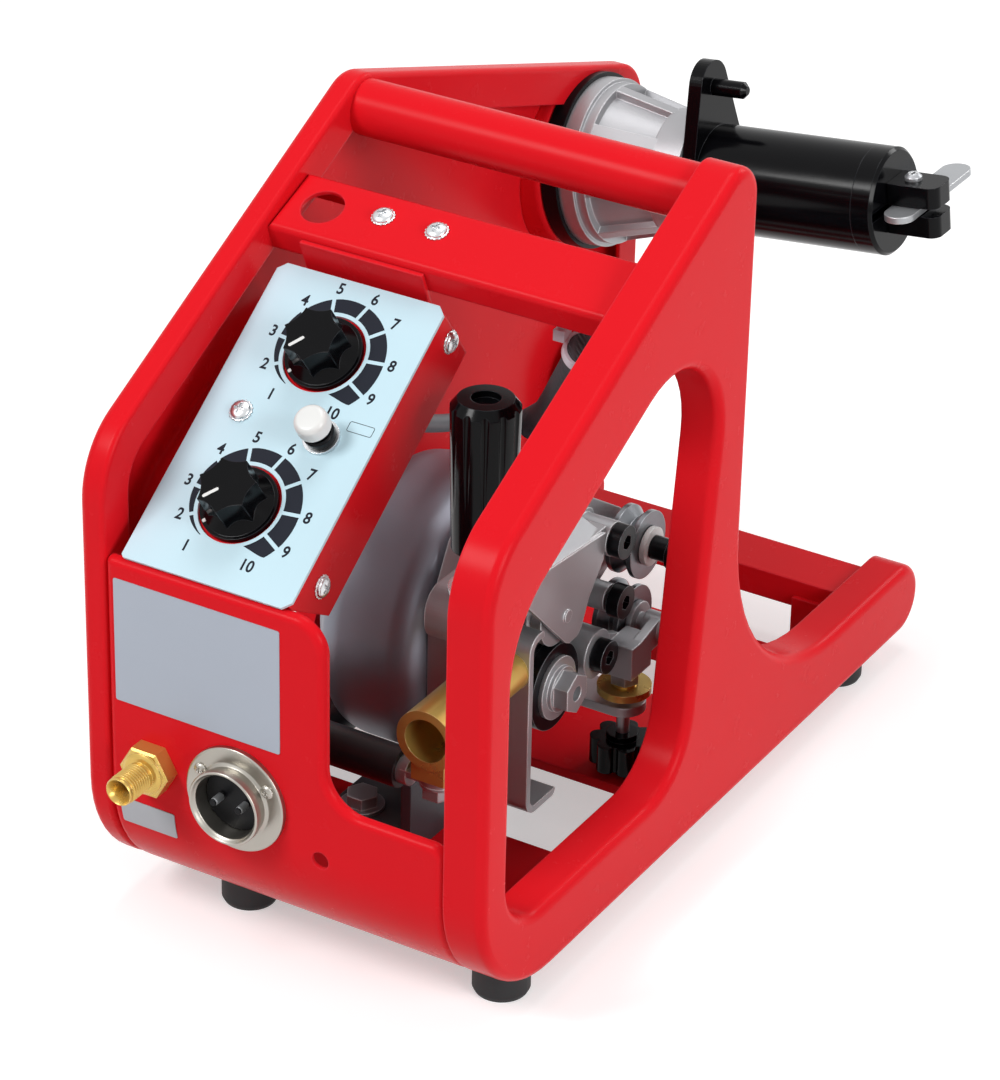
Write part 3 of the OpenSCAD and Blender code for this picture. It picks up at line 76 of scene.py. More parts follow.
# Front panel
PANEL_TOP, PANEL_X, BAND_Z, PANEL_ROLL = 181.0, 21.7, 95.5, 4.5
PANEL_FLAT, LABEL_T = 8.5, 0.35

# Crossbeam, faceplate and hub frames
BEAM_AT, BEAM_TILT, BEAM_W, BEAM_H = Vector((0, 79.0, 283.5)), 21.3, 34.4, 13.0
PLATE_AT, PLATE_TILT, PLATE_W, PLATE_L = Vector((-78.3, -40.0, 182.5)), 35.85, 82.0, 146.8
DIALS = ((40.3, 111.6, 140.0, "upper"), (38.6, 37.1, 138.0, "lower"))
BUTTON = (58.4, 75.4)
SCALE_GAPS = (-151, -119, -84, -50, -18, 17.5, 50.5, 84, 118, 147)
SCALE_REACH = (
    (-151, 20.3), (-116, 21.9), (-44, 25.1), (-12, 26.4), (50, 27.0), (82, 27.7), (115, 28.8), (136, 28.9),
    (147, 24.2),
)
NUMBER_SPOTS = (
    (-13.5, -24.1), (-23.1, -11.8), (-27.0, 3.6), (-20.4, 20.8), (-7.6, 30.2),
    (9.6, 29.6), (23.5, 21.4), (31.5, 2.9), (29.9, -13.9), (16.6, -24.5),
)
PLATE_SCREW = (18.0, 76.6)
HUB_AT, HUB_TILT, DISH_R = Vector((-85.0, 350.0, 213.5)), 6.5, 41.0

# Front fittings and drive
SOCKET, GAS, GAS_L = (-20.8, 86.6), (-62.8, 88.0), 25.5
MOTOR = (138.0, 90.0)
GAS_NUT, THREAD_PITCH = 21.0, 1.45

# Stage
VIEW_ANGLES, VIEW_AT = (30.4, 29.0, 1.3), Vector((821.955, -1268.62, 1033.9))
SKY_LIGHT, SKY_SEEN, FLOOR_GREY, FLOOR_GLOW = 0.28, 0.72, 0.72, 0.46


def slope_at(y):
    return SLOPE_Z + y * SLOPE


def scale_reach(angle):
    """Outer radius of the dials' scale, which widens clockwise."""
    for (a, r), (b, q) in zip(SCALE_REACH, SCALE_REACH[1:]):
        if angle <= b:
            return r + (q - r) * (angle - a) / (b - a)
    return SCALE_REACH[-1][1]


def on_plate():
    """Faceplate's frame: X across, Y up the slope and Z out of its face."""
    return Matrix.Translation(PLATE_AT) @ Matrix.Rotation(math.radians(PLATE_TILT), 4, "X")


def on_beam():
    """Crossbeam's frame: X along it, Y up its tilted top and Z out of the top."""
    return Matrix.Translation(BEAM_AT) @ Matrix.Rotation(math.radians(BEAM_TILT), 4, "X")


def on_hub(s=0.0):
    """Hub's frame: Z out along its axis, X down and Y to the rear."""
    turn = Matrix.Rotation(math.radians(90 - HUB_TILT), 4, "Y")
    return Matrix.Translation(HUB_AT) @ turn @ Matrix.Translation((0, 0, s))


def along_x(y, z, x=0.0):
    """Frame whose Z runs along X."""
    return Matrix.Translation((x, y, z)) @ Matrix.Rotation(math.radians(90), 4, "Y")


def to_front(x, z, y=FRONT_Y):
    """Frame whose Z runs out of the front."""
    return Matrix.Translation((x, y, z)) @ Matrix.Rotation(math.radians(90), 4, "X")


# ---------------------------------------------------------------- shapes

CORNER_STEPS = 14
EDGE_STEPS = 6


def quarter(steps):
    """Angles from 0 to a right angle."""
    return [math.pi / 2 * k / steps for k in range(steps + 1)]


def whole(steps):
    """Angles once round."""
    return [2 * math.pi * k / steps for k in range(steps)]


def unit(v):
    return v / v.length


def inset(corners, d):
    """Outline of corners (x, y, radius), counter-clockwise, moved inwards by d."""
    n, out = len(corners), []
    for i in range(n):
        a, b, c = (Vector(corners[(i + k - 1) % n][:2]) for k in range(3))
        u, v = unit(b - a), unit(c - b)
        p, q = a + d * Vector((-u.y, u.x)), b + d * Vector((-v.y, v.x))
        cross = u.x * v.y - u.y * v.x
        t = ((q - p).x * v.y - (q - p).y * v.x) / cross
        m = p + u * t
        out.append((m.x, m.y, max(corners[i][2] - math.copysign(d, cross) * (1 if d >= 0 else -1), 0.001)))
    return out


def rounded(corners):
    """Points round an outline, with the same number at every corner."""
    n, out = len(corners), []
    for i in range(n):
        a, b, c = (Vector(corners[(i + k - 1) % n][:2]) for k in range(3))
        r = max(corners[i][2], 0.001)
        u, v = unit(a - b), unit(c - b)
        half = math.acos(max(-1, min(1, u.dot(v)))) / 2
        centre = b + unit(u + v) * r / math.sin(half)
        start = b + u * r / math.tan(half) - centre
        turn = 1 if (b - a).x * (c - b).y - (b - a).y * (c - b).x > 0 else -1
        first, sweep = math.atan2(start.y, start.x), turn * (math.pi - 2 * half)
        for k in range(CORNER_STEPS + 1):
            t = first + sweep * k / CORNER_STEPS
            out.append(centre + r * Vector((math.cos(t), math.sin(t))))
    return out


def circle(x, y, r, steps=40):
    return [Vector((x + r * math.cos(t), y + r * math.sin(t))) for t in whole(steps)]


def hexagon(r):
    return circle(0, 0, r, 6)


def square(x0, y0, x1, y1, r=0):
    """Corners of a rectangle."""
    return [(x0, y0, r), (x1, y0, r), (x1, y1, r), (x0, y1, r)]


def ring(bm, points, z):
    return [bm.verts.new((p.x, p.y, z)) for p in points]


def skin(bm, low, high):
    """Quads between two closed rings."""
    n = len(low)
    for i in range(n):
        bm.faces.new((low[i], low[(i + 1) % n], high[(i + 1) % n], high[i]))


def fill(bm, loops):
    """Flat face inside the first ring and outside the others."""
    edges = []
    for loop in loops:
        for i in range(len(loop)):
            a, b = loop[i], loop[(i + 1) % len(loop)]
            edges.append(bm.edges.get((a, b)) or bm.edges.new((a, b)))
    bmesh.ops.triangle_fill(bm, use_beauty=True, edges=edges)


def pressed(rim, windows, holes, depth, wall, edge, lip=None):
    """Sheet pressed into a tray with rounded edges: its face at Z = depth, its rim and windows turned down.

    A lip is the inner outline of a flange that turns inwards again from the foot of the rim.
    """
    bm = bmesh.new()
    outer_top, inner_top = [], []
    for corners, side in [(rim, 1)] + [(w, -1) for w in windows]:
        turned = lip is not None and side == 1
        foot = [(0, 0)]
        if turned:
            small = wall * 1.2
            foot = [
                (small * (1 - math.sin(t)), small * (1 - math.cos(t)))
                for t in quarter(EDGE_STEPS)
            ]
        rows = foot + [
            (edge * (1 - math.cos(t)), depth - edge + edge * math.sin(t))
            for t in quarter(EDGE_STEPS)
        ]
        rings = [ring(bm, rounded(inset(corners, side * d)), z) for d, z in rows]
        small = max(edge - wall, 0.3)
        rows = [
            (wall + small * (1 - math.cos(t)), depth - wall - small + small * math.sin(t))
            for t in reversed(quarter(EDGE_STEPS))
        ] + [(wall, wall if turned else 0)]
        inner = [ring(bm, rounded(inset(corners, side * d)), z) for d, z in rows]
        for a, b in zip(rings, rings[1:]):
            skin(bm, a, b)
        for a, b in zip(inner, inner[1:]):
            skin(bm, a, b)
        if turned:
            low, high = ring(bm, rounded(lip), 0), ring(bm, rounded(lip), wall)
            skin(bm, low, high)
            fill(bm, [rings[0], low])
            fill(bm, [inner[-1], high])
        else:
            skin(bm, inner[-1], rings[0])
        outer_top.append(rings[-1])
        inner_top.append(inner[0])
    for x, y, r in holes:
        top, low = ring(bm, circle(x, y, r), depth), ring(bm, circle(x, y, r), depth - wall)
        skin(bm, low, top)
        outer_top.append(top)
        inner_top.append(low)
    fill(bm, outer_top)
    fill(bm, inner_top)
    bmesh.ops.recalc_face_normals(bm, faces=bm.faces)
    return bm


def plate_between(outer, holes, z0, z1):
    """Flat plate between an outline and its holes."""
    bm = bmesh.new()
    tops, lows = [], []
    for points in [outer] + holes:
        low, top = ring(bm, points, z0), ring(bm, points, z1)
        skin(bm, low, top)
        lows.append(low)
        tops.append(top)
    fill(bm, tops)
    fill(bm, lows)
    bmesh.ops.recalc_face_normals(bm, faces=bm.faces)
    return bm


def lathe(profile, steps=96):
    """Turned form about Z, from (radius, height) points; a radius of 0 closes an end."""
    bm = bmesh.new()
    rings = []
    for r, z in profile:
        if r < 1e-6:
            rings.append([bm.verts.new((0, 0, z))])
        else:
            rings.append(ring(bm, circle(0, 0, r, steps), z))
    for a, b in zip(rings, rings[1:]):
        for i in range(steps):
            j = (i + 1) % steps
            if len(a) == 1 and len(b) > 1:
                bm.faces.new((a[0], b[i], b[j]))
            elif len(b) == 1 and len(a) > 1:
                bm.faces.new((a[j], a[i], b[0]))
            elif len(a) > 1:
                bm.faces.new((a[i], a[j], b[j], b[i]))
    bmesh.ops.recalc_face_normals(bm, faces=bm.faces)
    return bm


def softened(profile, r, steps=4):
    """Profile with its inner corners rounded to radius r."""
    out = [profile[0]]
    for i in range(1, len(profile) - 1):
        a, b, c = (Vector(p) for p in profile[i - 1 : i + 2])
        u, v = a - b, c - b
        cut = min(r, 0.45 * u.length, 0.45 * v.length)
        p, q = b + unit(u) * cut, b + unit(v) * cut
        for k in range(steps + 1):
            t = k / steps
            out.append(tuple(p * (1 - t) ** 2 + 2 * b * t * (1 - t) + q * t**2))
    out.append(profile[-1])
    return out


def cut_at(bm, point, normal, **options):
    """Cuts a form along a plane."""
    geom = bm.verts[:] + bm.edges[:] + bm.faces[:]
    bmesh.ops.bisect_plane(bm, geom=geom, plane_co=point, plane_no=normal, **options)


def prism(points, z0, z1, chamfer=0.0):
    """Upright prism on an outline, its top edge chamfered."""
    bm = bmesh.new()
    low = ring(bm, points, z0)
    top = ring(bm, points, z1 - chamfer)
    skin(bm, low, top)
    if chamfer:
        middle = sum(points, Vector((0, 0))) / len(points)
        inner = ring(bm, [p + unit(middle - p) * chamfer for p in points], z1)
        skin(bm, top, inner)
        top = inner
    bm.faces.new(top)
    bm.faces.new(low[::-1])
    bmesh.ops.recalc_face_normals(bm, faces=bm.faces)
    return bm


def merged(parts):
    """One form out of (form, matrix) pairs."""
    bm = bmesh.new()
    for part, matrix in parts:
        mesh = bpy.data.meshes.new("part")
        part.to_mesh(mesh)
        part.free()
        mesh.transform(matrix)
        bm.from_mesh(mesh)
        bpy.data.meshes.remove(mesh)
    return bm


def cross_head(d):
    """Domed pan head with a cross recess on a toothed washer, its seat at Z = 0."""
    steps, rings_n = 120, 26
    bm = bmesh.new()
    h, slot = d * 0.32, d * 0.065
    rows = [(d / 2, 0.25), (d / 2, d * 0.12)]
    rows += [
        (d / 2 * math.cos(t), d * 0.12 + (h - d * 0.12) * math.sin(t))
        for t in quarter(rings_n)[1:-1]
    ]
    rings = []
    for r, z in rows:
        loop = []
        for x, y in circle(0, 0, r, steps):
            deep = max(abs(x), abs(y)) < d * 0.27 and min(abs(x), abs(y)) < slot
            loop.append(bm.verts.new((x, y, z - (d * 0.11 if deep else 0))))
        rings.append(loop)
    for a, b in zip(rings, rings[1:]):
        skin(bm, a, b)
    tip = bm.verts.new((0, 0, h - d * 0.11))
    for k in range(steps):
        bm.faces.new((rings[-1][k], rings[-1][(k + 1) % steps], tip))
    teeth = [
        Vector((math.cos(t), math.sin(t))) * (d * 0.6 if k % 2 else d * 0.545)
        for k, t in enumerate(whole(36))
    ]
    washer = prism(teeth, 0, 0.7, 0.2)
    bmesh.ops.recalc_face_normals(bm, faces=bm.faces)
    return merged([(bm, Matrix()), (washer, Matrix())])


def smooth_route(points, steps=6):
    """Points of a smooth curve through the given ones."""
    p = [Vector(q) for q in points]
    out = []
    for i in range(len(p) - 1):
        a, b, c, d = p[max(i - 1, 0)], p[i], p[i + 1], p[min(i + 2, len(p) - 1)]
        for k in range(steps):
            t = k / steps
            square_term, cube_term = 2 * a - 5 * b + 4 * c - d, 3 * b - a - 3 * c + d
            out.append((2 * b + (c - a) * t + square_term * t**2 + cube_term * t**3) / 2)
    return out + [p[-1]]


def swept(points, radius, sides=20):
    """Round lead along a route, with flat ends."""
    bm = bmesh.new()
    rings = []
    side = None
    for i, p in enumerate(points):
        d = unit(points[min(i + 1, len(points) - 1)] - points[max(i - 1, 0)])
        side = unit(d.cross(Vector((0, 0, 1)))) if side is None else unit(side - d * side.dot(d))
        up = side.cross(d)
        rings.append(
            [bm.verts.new(p + radius * (side * math.cos(t) + up * math.sin(t))) for t in whole(sides)]
        )
    for a, b in zip(rings, rings[1:]):
        skin(bm, a, b)
    bm.faces.new(rings[0][::-1])
    bm.faces.new(rings[-1])
    bmesh.ops.recalc_face_normals(bm, faces=bm.faces)
    return bm


def piece(name, bm, matrix, finish, body="frame", stands_for=(), sharp=32.0):
    """Turns a form in the working frame into a piece that rides on a body."""
    bmesh.ops.remove_doubles(bm, verts=bm.verts, dist=0.0004)
    mesh = bpy.data.meshes.new(name)
    bm.to_mesh(mesh)
    bm.free()
    mesh.transform(TO_ROW @ matrix)
    obj = bpy.data.objects.new(name, mesh)
    bpy.context.scene.collection.objects.link(obj)
    mesh.materials.append(finish)
    mesh.shade_smooth()
    mesh.set_sharp_from_angle(angle=math.radians(sharp))
    even = obj.modifiers.new("Even normals", "WEIGHTED_NORMAL")
    even.keep_sharp = True
    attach(obj, body)
    if stands_for:
        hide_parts(*stands_for)
    return obj


def dress(nodes, finish, sharp=32.0):
    """Gives solids of the frame a finish and smooth shading."""
    for node in nodes:
        obj = SOLIDS[node]
        obj.data.materials.clear()
        obj.data.materials.append(finish)
        obj.data.shade_smooth()
        obj.data.set_sharp_from_angle(angle=math.radians(sharp))


# ---------------------------------------------------------------- finishes


def from_hex(text):
    """Linear colour of a written one."""
    values = [int(text[i : i + 2], 16) / 255 for i in (0, 2, 4)]
    return tuple(v / 12.92 if v <= 0.04045 else ((v + 0.055) / 1.055) ** 2.4 for v in values) + (1.0,)


def group(name, inputs, outputs):
    """New shader group with named sockets, or None if it is there already."""
    if name in bpy.data.node_groups:
        return None, None, None
    tree = bpy.data.node_groups.new(name, "ShaderNodeTree")
    for label, kind, value in inputs:
        socket = tree.interface.new_socket(name=label, in_out="INPUT", socket_type=kind)
        socket.default_value = value
    for label, kind in outputs:
        tree.interface.new_socket(name=label, in_out="OUTPUT", socket_type=kind)
    return tree, tree.nodes.new("NodeGroupInput"), tree.nodes.new("NodeGroupOutput")


def feed(tree, value, socket):
    """Links an output to a socket, or sets the socket to a plain value."""
    if isinstance(value, bpy.types.NodeSocket):
        tree.links.new(value, socket)
    else:
        socket.default_value = value


def math_node(tree, kind, a, b, clamp=False):
    node = tree.nodes.new("ShaderNodeMath")
    node.operation = kind
    node.use_clamp = clamp
    feed(tree, a, node.inputs[0])
    feed(tree, b, node.inputs[1])
    return node.outputs[0]


def noise_node(tree, scale, detail, vector, rough=0.5):
    node = tree.nodes.new("ShaderNodeTexNoise")
    node.inputs["Detail"].default_value = detail
    node.inputs["Roughness"].default_value = rough
    feed(tree, scale, node.inputs["Scale"])
    tree.links.new(vector, node.inputs["Vector"])
    return node.outputs["Fac"]


def seen_node(tree):
    """1 for what the camera sees directly, through glass or mirrored, and 0 for diffuse light."""
    rays = tree.nodes.new("ShaderNodeLightPath").outputs
    seen = math_node(tree, "MAXIMUM", rays["Is Camera Ray"], rays["Is Transmission Ray"])
    return math_node(tree, "MAXIMUM", seen, rays["Is Glossy Ray"])


def build_groups():
    """Effects that several finishes share."""
    tree, start, end = group(
        "Rounded edges",
        [("Radius", "NodeSocketFloat", 0.0006)],
        [("Normal", "NodeSocketVector"), ("Edge", "NodeSocketFloat")],
    )
    if tree:
        bevel = tree.nodes.new("ShaderNodeBevel")
        bevel.samples = 6
        tree.links.new(start.outputs["Radius"], bevel.inputs["Radius"])
        geometry = tree.nodes.new("ShaderNodeNewGeometry")
        dot = tree.nodes.new("ShaderNodeVectorMath")
        dot.operation = "DOT_PRODUCT"
        tree.links.new(bevel.outputs[0], dot.inputs[0])
        tree.links.new(geometry.outputs["Normal"], dot.inputs[1])
        # Edge mask: how far the rounded normal turns from the face's own. The finishes use it to paint
        # highlights along edges, partly edge wear.
        edge = math_node(tree, "MULTIPLY", math_node(tree, "SUBTRACT", 1.0, dot.outputs["Value"]), 6.0, True)
        tree.links.new(bevel.outputs[0], end.inputs["Normal"])
        tree.links.new(edge, end.inputs["Edge"])

    tree, start, end = group(
        "Surface grain",
        [("Size", "NodeSocketFloat", 900.0), ("Drift", "NodeSocketFloat", 18.0)],
        [("Height", "NodeSocketFloat"), ("Tone", "NodeSocketFloat"), ("Smudge", "NodeSocketFloat")],
    )
    if tree:
        place = tree.nodes.new("ShaderNodeTexCoord").outputs["Object"]
        tree.links.new(noise_node(tree, start.outputs["Size"], 4.0, place), end.inputs["Height"])
        tree.links.new(noise_node(tree, start.outputs["Drift"], 2.0, place), end.inputs["Tone"])
        smudge = noise_node(tree, math_node(tree, "MULTIPLY", start.outputs["Drift"], 4.0), 5.0, place, 0.65)
        tree.links.new(math_node(tree, "POWER", smudge, 2.5), end.inputs["Smudge"])

    tree, start, end = group(
        "Tool marks",
        [("Stretch", "NodeSocketVector", (1.0, 1.0, 40.0)), ("Size", "NodeSocketFloat", 60.0)],
        [("Height", "NodeSocketFloat")],
    )
    if tree:
        place = tree.nodes.new("ShaderNodeTexCoord").outputs["Object"]
        scaled = tree.nodes.new("ShaderNodeVectorMath")
        scaled.operation = "MULTIPLY"
        tree.links.new(place, scaled.inputs[0])
        tree.links.new(start.outputs["Stretch"], scaled.inputs[1])
        height = noise_node(tree, start.outputs["Size"], 6.0, scaled.outputs[0], 0.6)
        tree.links.new(height, end.inputs["Height"])

    tree, start, end = group(
        "Settled dust",
        [("Amount", "NodeSocketFloat", 0.2)],
        [("Mask", "NodeSocketFloat")],
    )
    if tree:
        geometry = tree.nodes.new("ShaderNodeNewGeometry")
        split = tree.nodes.new("ShaderNodeSeparateXYZ")
        tree.links.new(geometry.outputs["Normal"], split.inputs[0])
        up = math_node(tree, "MAXIMUM", split.outputs["Z"], 0.0)
        place = tree.nodes.new("ShaderNodeTexCoord").outputs["Object"]
        patches = math_node(tree, "SUBTRACT", noise_node(tree, 35.0, 6.0, place), 0.35)
        patches = math_node(tree, "MULTIPLY", patches, 2.0, True)
        mask = math_node(tree, "MULTIPLY", up, patches)
        mask = math_node(tree, "MULTIPLY", mask, start.outputs["Amount"], True)
        tree.links.new(mask, end.inputs["Mask"])


def use_group(tree, name, **values):
    node = tree.nodes.new("ShaderNodeGroup")
    node.node_tree = bpy.data.node_groups[name]
    for label, value in values.items():
        node.inputs[label].default_value = value
    return node


def mix_colour(tree, amount, a, b):
    node = tree.nodes.new("ShaderNodeMix")
    node.data_type = "RGBA"
    tree.links.new(amount, node.inputs[0])
    feed(tree, a, node.inputs[6])
    feed(tree, b, node.inputs[7])
    return node.outputs[2]


def finish(
    name,
    colour,
    rough,
    metal=0.0,
    edge=0.0005,
    edge_highlight_and_wear_colour=None,
    edge_highlight_and_wear_share=0.3,
    grain=900.0,
    depth=0.03,
    tone=0.12,
    spread=0.1,
    marks=None,
    dust=0.0,
    specular=0.5,
):
    """Painted, moulded, turned or cast surface out of the shared effects."""
    if name in bpy.data.materials:
        return bpy.data.materials[name]
    colour, edge_highlight_and_wear_colour = (from_hex(c) if isinstance(c, str) else c for c in (colour, edge_highlight_and_wear_colour))
    material = bpy.data.materials.new(name)
    material.use_nodes = True
    material.diffuse_color = colour
    tree = material.node_tree
    surface = tree.nodes["Principled BSDF"]
    surface.inputs["Metallic"].default_value = metal
    surface.inputs["Specular IOR Level"].default_value = specular
    grain_node = use_group(tree, "Surface grain", Size=grain, Drift=18.0)
    edges = use_group(tree, "Rounded edges", Radius=edge)
    dark = tuple(c * (1 - tone) for c in colour[:3]) + (1.0,)
    light = tuple(min(c * (1 + tone * 0.7), 1.0) for c in colour[:3]) + (1.0,)
    shade = mix_colour(tree, grain_node.outputs["Tone"], dark, light)
    # Painted highlight along rounded edges, partly edge wear: the edge mask blends a lighter edge colour into
    # the base colour.
    if edge_highlight_and_wear_colour:
        edge_highlight_and_wear = math_node(tree, "MULTIPLY", edges.outputs["Edge"], edge_highlight_and_wear_share, True)
        shade = mix_colour(tree, edge_highlight_and_wear, shade, edge_highlight_and_wear_colour)
    if dust:
        settled = use_group(tree, "Settled dust", Amount=dust)
        shade = mix_colour(tree, settled.outputs["Mask"], shade, from_hex("b9b4ab"))
    tree.links.new(shade, surface.inputs["Base Color"])
    level = math_node(tree, "MULTIPLY", grain_node.outputs["Smudge"], spread * 2)
    tree.links.new(math_node(tree, "ADD", level, rough - spread * 0.35, True), surface.inputs["Roughness"])
    height = grain_node.outputs["Height"]
    if marks:
        cut = use_group(tree, "Tool marks", Stretch=marks, Size=60.0)
        height = math_node(tree, "ADD", height, math_node(tree, "MULTIPLY", cut.outputs["Height"], 1.5))
    bump = tree.nodes.new("ShaderNodeBump")
    bump.inputs["Strength"].default_value = 1.0
    bump.inputs["Distance"].default_value = depth * 0.001
    tree.links.new(height, bump.inputs["Height"])
    tree.links.new(edges.outputs["Normal"], bump.inputs["Normal"])
    tree.links.new(bump.outputs["Normal"], surface.inputs["Normal"])
    return material


def woven_finish(name, colour):
    """Braided sleeve: crossed strands as bumps and tones along and round the sleeve."""
    if name in bpy.data.materials:
        return bpy.data.materials[name]
    material = finish(name, colour, 0.75, edge=0.0003, grain=1500.0, depth=0.05, tone=0.3)
    tree = material.node_tree
    surface = tree.nodes["Principled BSDF"]
    place = tree.nodes.new("ShaderNodeTexCoord").outputs["Object"]
    waves = []
    for turn in (45, -45):
        mapping = tree.nodes.new("ShaderNodeMapping")
        mapping.inputs["Rotation"].default_value = (math.radians(turn), math.radians(30), math.radians(turn))
        tree.links.new(place, mapping.inputs["Vector"])
        wave = tree.nodes.new("ShaderNodeTexWave")
        wave.inputs["Scale"].default_value = 260.0
        wave.inputs["Distortion"].default_value = 0.6
        tree.links.new(mapping.outputs["Vector"], wave.inputs["Vector"])
        waves.append(wave.outputs["Fac"])
    strands = math_node(tree, "MAXIMUM", *waves)
    shade = mix_colour(tree, strands, from_hex(colour), from_hex("4a4a50"))
    tree.links.new(shade, surface.inputs["Base Color"])
    bump = next(n for n in tree.nodes if n.bl_idname == "ShaderNodeBump")
    bump.inputs["Distance"].default_value = 0.0005
    tree.links.new(strands, bump.inputs["Height"])
    return material


def finishes(context):
    """Every finish of the feeder, by its own name."""
    build_groups()
    colours = context.scene.feeder_colours
    red = tuple(colours.frame) + (1.0,)
    plate = tuple(colours.plate) + (1.0,)
    return {
        "red_enamel": finish(
            "Red enamel", red, 0.26, edge=0.0012, edge_highlight_and_wear_colour="ff5060", grain=650.0, depth=0.012,
            tone=0.03, spread=0.05, specular=0.05,
        ),
        "pale_plate": finish(
            "Pale blue plate", plate, 0.42, edge=0.0004, edge_highlight_and_wear_colour="f4fbff", edge_highlight_and_wear_share=0.8,
            grain=1400.0, depth=0.006, tone=0.02, spread=0.05,
        ),
        "print_ink": finish(
            "Black print", "23262f", 0.5, edge=0.0001, grain=1200.0, depth=0.003, tone=0.06, specular=0.08,
        ),
        "black_gloss": finish(
            "Black moulding", "060608", 0.16, edge_highlight_and_wear_colour="3a3c42", edge_highlight_and_wear_share=0.5, grain=500.0,
            depth=0.004, tone=0.15, spread=0.05, specular=0.12,
        ),
        "black_satin": finish(
            "Black satin moulding", "0b0b0e", 0.34, edge=0.0006, grain=700.0, depth=0.012, tone=0.18,
            spread=0.08, specular=0.14,
        ),
        "black_rubber": finish("Black rubber", "161618", 0.65, edge=0.001, depth=0.05, tone=0.2, dust=0.15),
        "blackened": finish(
            "Blackened steel", "0f0f12", 0.3, metal=0.3, edge_highlight_and_wear_colour="9a9da2", edge_highlight_and_wear_share=0.8, grain=800.0,
            depth=0.01, tone=0.2, specular=0.2,
        ),
        "chrome": finish(
            "Bright plating", "d2d4d6", 0.27, metal=1.0, edge=0.0003, grain=500.0, depth=0.003, tone=0.05,
            spread=0.06,
        ),
        "nickel": finish(
            "Satin nickel", "a8a49c", 0.34, metal=1.0, edge=0.0004, edge_highlight_and_wear_colour="e8e6e2", edge_highlight_and_wear_share=0.5,
            depth=0.008, tone=0.1, spread=0.12,
        ),
        "zinc": finish(
            "Zinc plated sheet", "a6a8ab", 0.38, metal=0.62, edge=0.0008, edge_highlight_and_wear_colour="f2f3f4",
            edge_highlight_and_wear_share=0.7, grain=420.0, depth=0.008,
        ),
        "cast_alloy": finish(
            "Blasted alloy", "a8a8ab", 0.44, metal=0.65, edge=0.001, edge_highlight_and_wear_colour="e4e4e6", edge_highlight_and_wear_share=0.4,
            grain=1100.0, depth=0.06, tone=0.1,
        ),
        "motor_skin": finish(
            "Motor skin", "878b95", 0.44, metal=0.75, edge=0.0015, grain=1300.0, tone=0.08,
        ),
        "ground": finish(
            "Ground steel", "77797d", 0.3, metal=1.0, edge_highlight_and_wear_colour="d0d2d5", edge_highlight_and_wear_share=0.6, grain=700.0,
            depth=0.012, tone=0.15, marks=(30.0, 1.0, 1.0),
        ),
        "dark_paint": finish(
            "Dark bracket paint", "3a3b40", 0.45, edge=0.0008, edge_highlight_and_wear_colour="6a6b70", edge_highlight_and_wear_share=0.4,
            grain=600.0, tone=0.15, dust=0.25,
        ),
        "brass": finish(
            "Turned brass", "d0ae5c", 0.3, metal=0.65, edge=0.0002, edge_highlight_and_wear_colour="f4e4b0", edge_highlight_and_wear_share=0.6,
            grain=700.0, depth=0.006, spread=0.14,
        ),
        "white": finish("White moulding", "dededc", 0.3, edge=0.0006, grain=700.0, depth=0.01, tone=0.03),
        "label": finish(
            "Label film", "a6adb9", 0.42, metal=0.25, edge=0.0002, grain=1800.0, depth=0.006, tone=0.03,
            spread=0.08,
        ),
        "grey_label": finish(
            "Grey label film", "a8abb0", 0.45, metal=0.2, edge=0.0002, grain=1800.0, depth=0.006,
            tone=0.04,
        ),
        "cable": finish(
            "Cable sheath", "121214", 0.42, edge=0.0003, grain=500.0, depth=0.02, tone=0.2, spread=0.12,
        ),
        "grey_cable": finish("Grey sheath", "6a6c70", 0.5, edge=0.0003, grain=700.0, depth=0.02),
        "tie": finish("Natural nylon", "d9d2dc", 0.3, edge=0.0003, depth=0.01, tone=0.05),
        "woven": woven_finish("Braided sleeve", "1a191d"),
    }


# ---------------------------------------------------------------- settings


class FeederColours(bpy.types.PropertyGroup):
    """Colours that a user would change."""

    frame: FloatVectorProperty(
        name="Frame", description="Enamel of the frames, panel and beam", subtype="COLOR", size=3, min=0,
        max=1, default=from_hex("da1822")[:3],
    )
    plate: FloatVectorProperty(
        name="Faceplate", description="Ground colour of the printed plate", subtype="COLOR", size=3, min=0,
        max=1, default=from_hex("bddae5")[:3],
    )


class FeederSizes(bpy.types.PropertyGroup):
    """Sizes of the printed and pressed details, in metres."""

    press_edge: FloatProperty(
        name="Pressed edge", description="Radius of the frames' rounded edges", default=0.0045, min=0.002,
        max=0.006, unit="LENGTH",
    )
    number_height: FloatProperty(
        name="Number height", description="Height of the dials' numbers", default=0.0073, min=0.003,
        max=0.008, unit="LENGTH",
    )
    scale_inner: FloatProperty(
        name="Scale radius", description="Inner radius of the dials' printed scale", default=0.02, min=0.018,
        max=0.024, unit="LENGTH",
    )


# ---------------------------------------------------------------- pieces


class Dressing:
    """Gives each of its solids the finish that looks names."""

    def execute(self, context):
        f = finishes(context)
        for look, nodes in self.looks:
            dress(nodes, f[look])
        return {"FINISHED"}


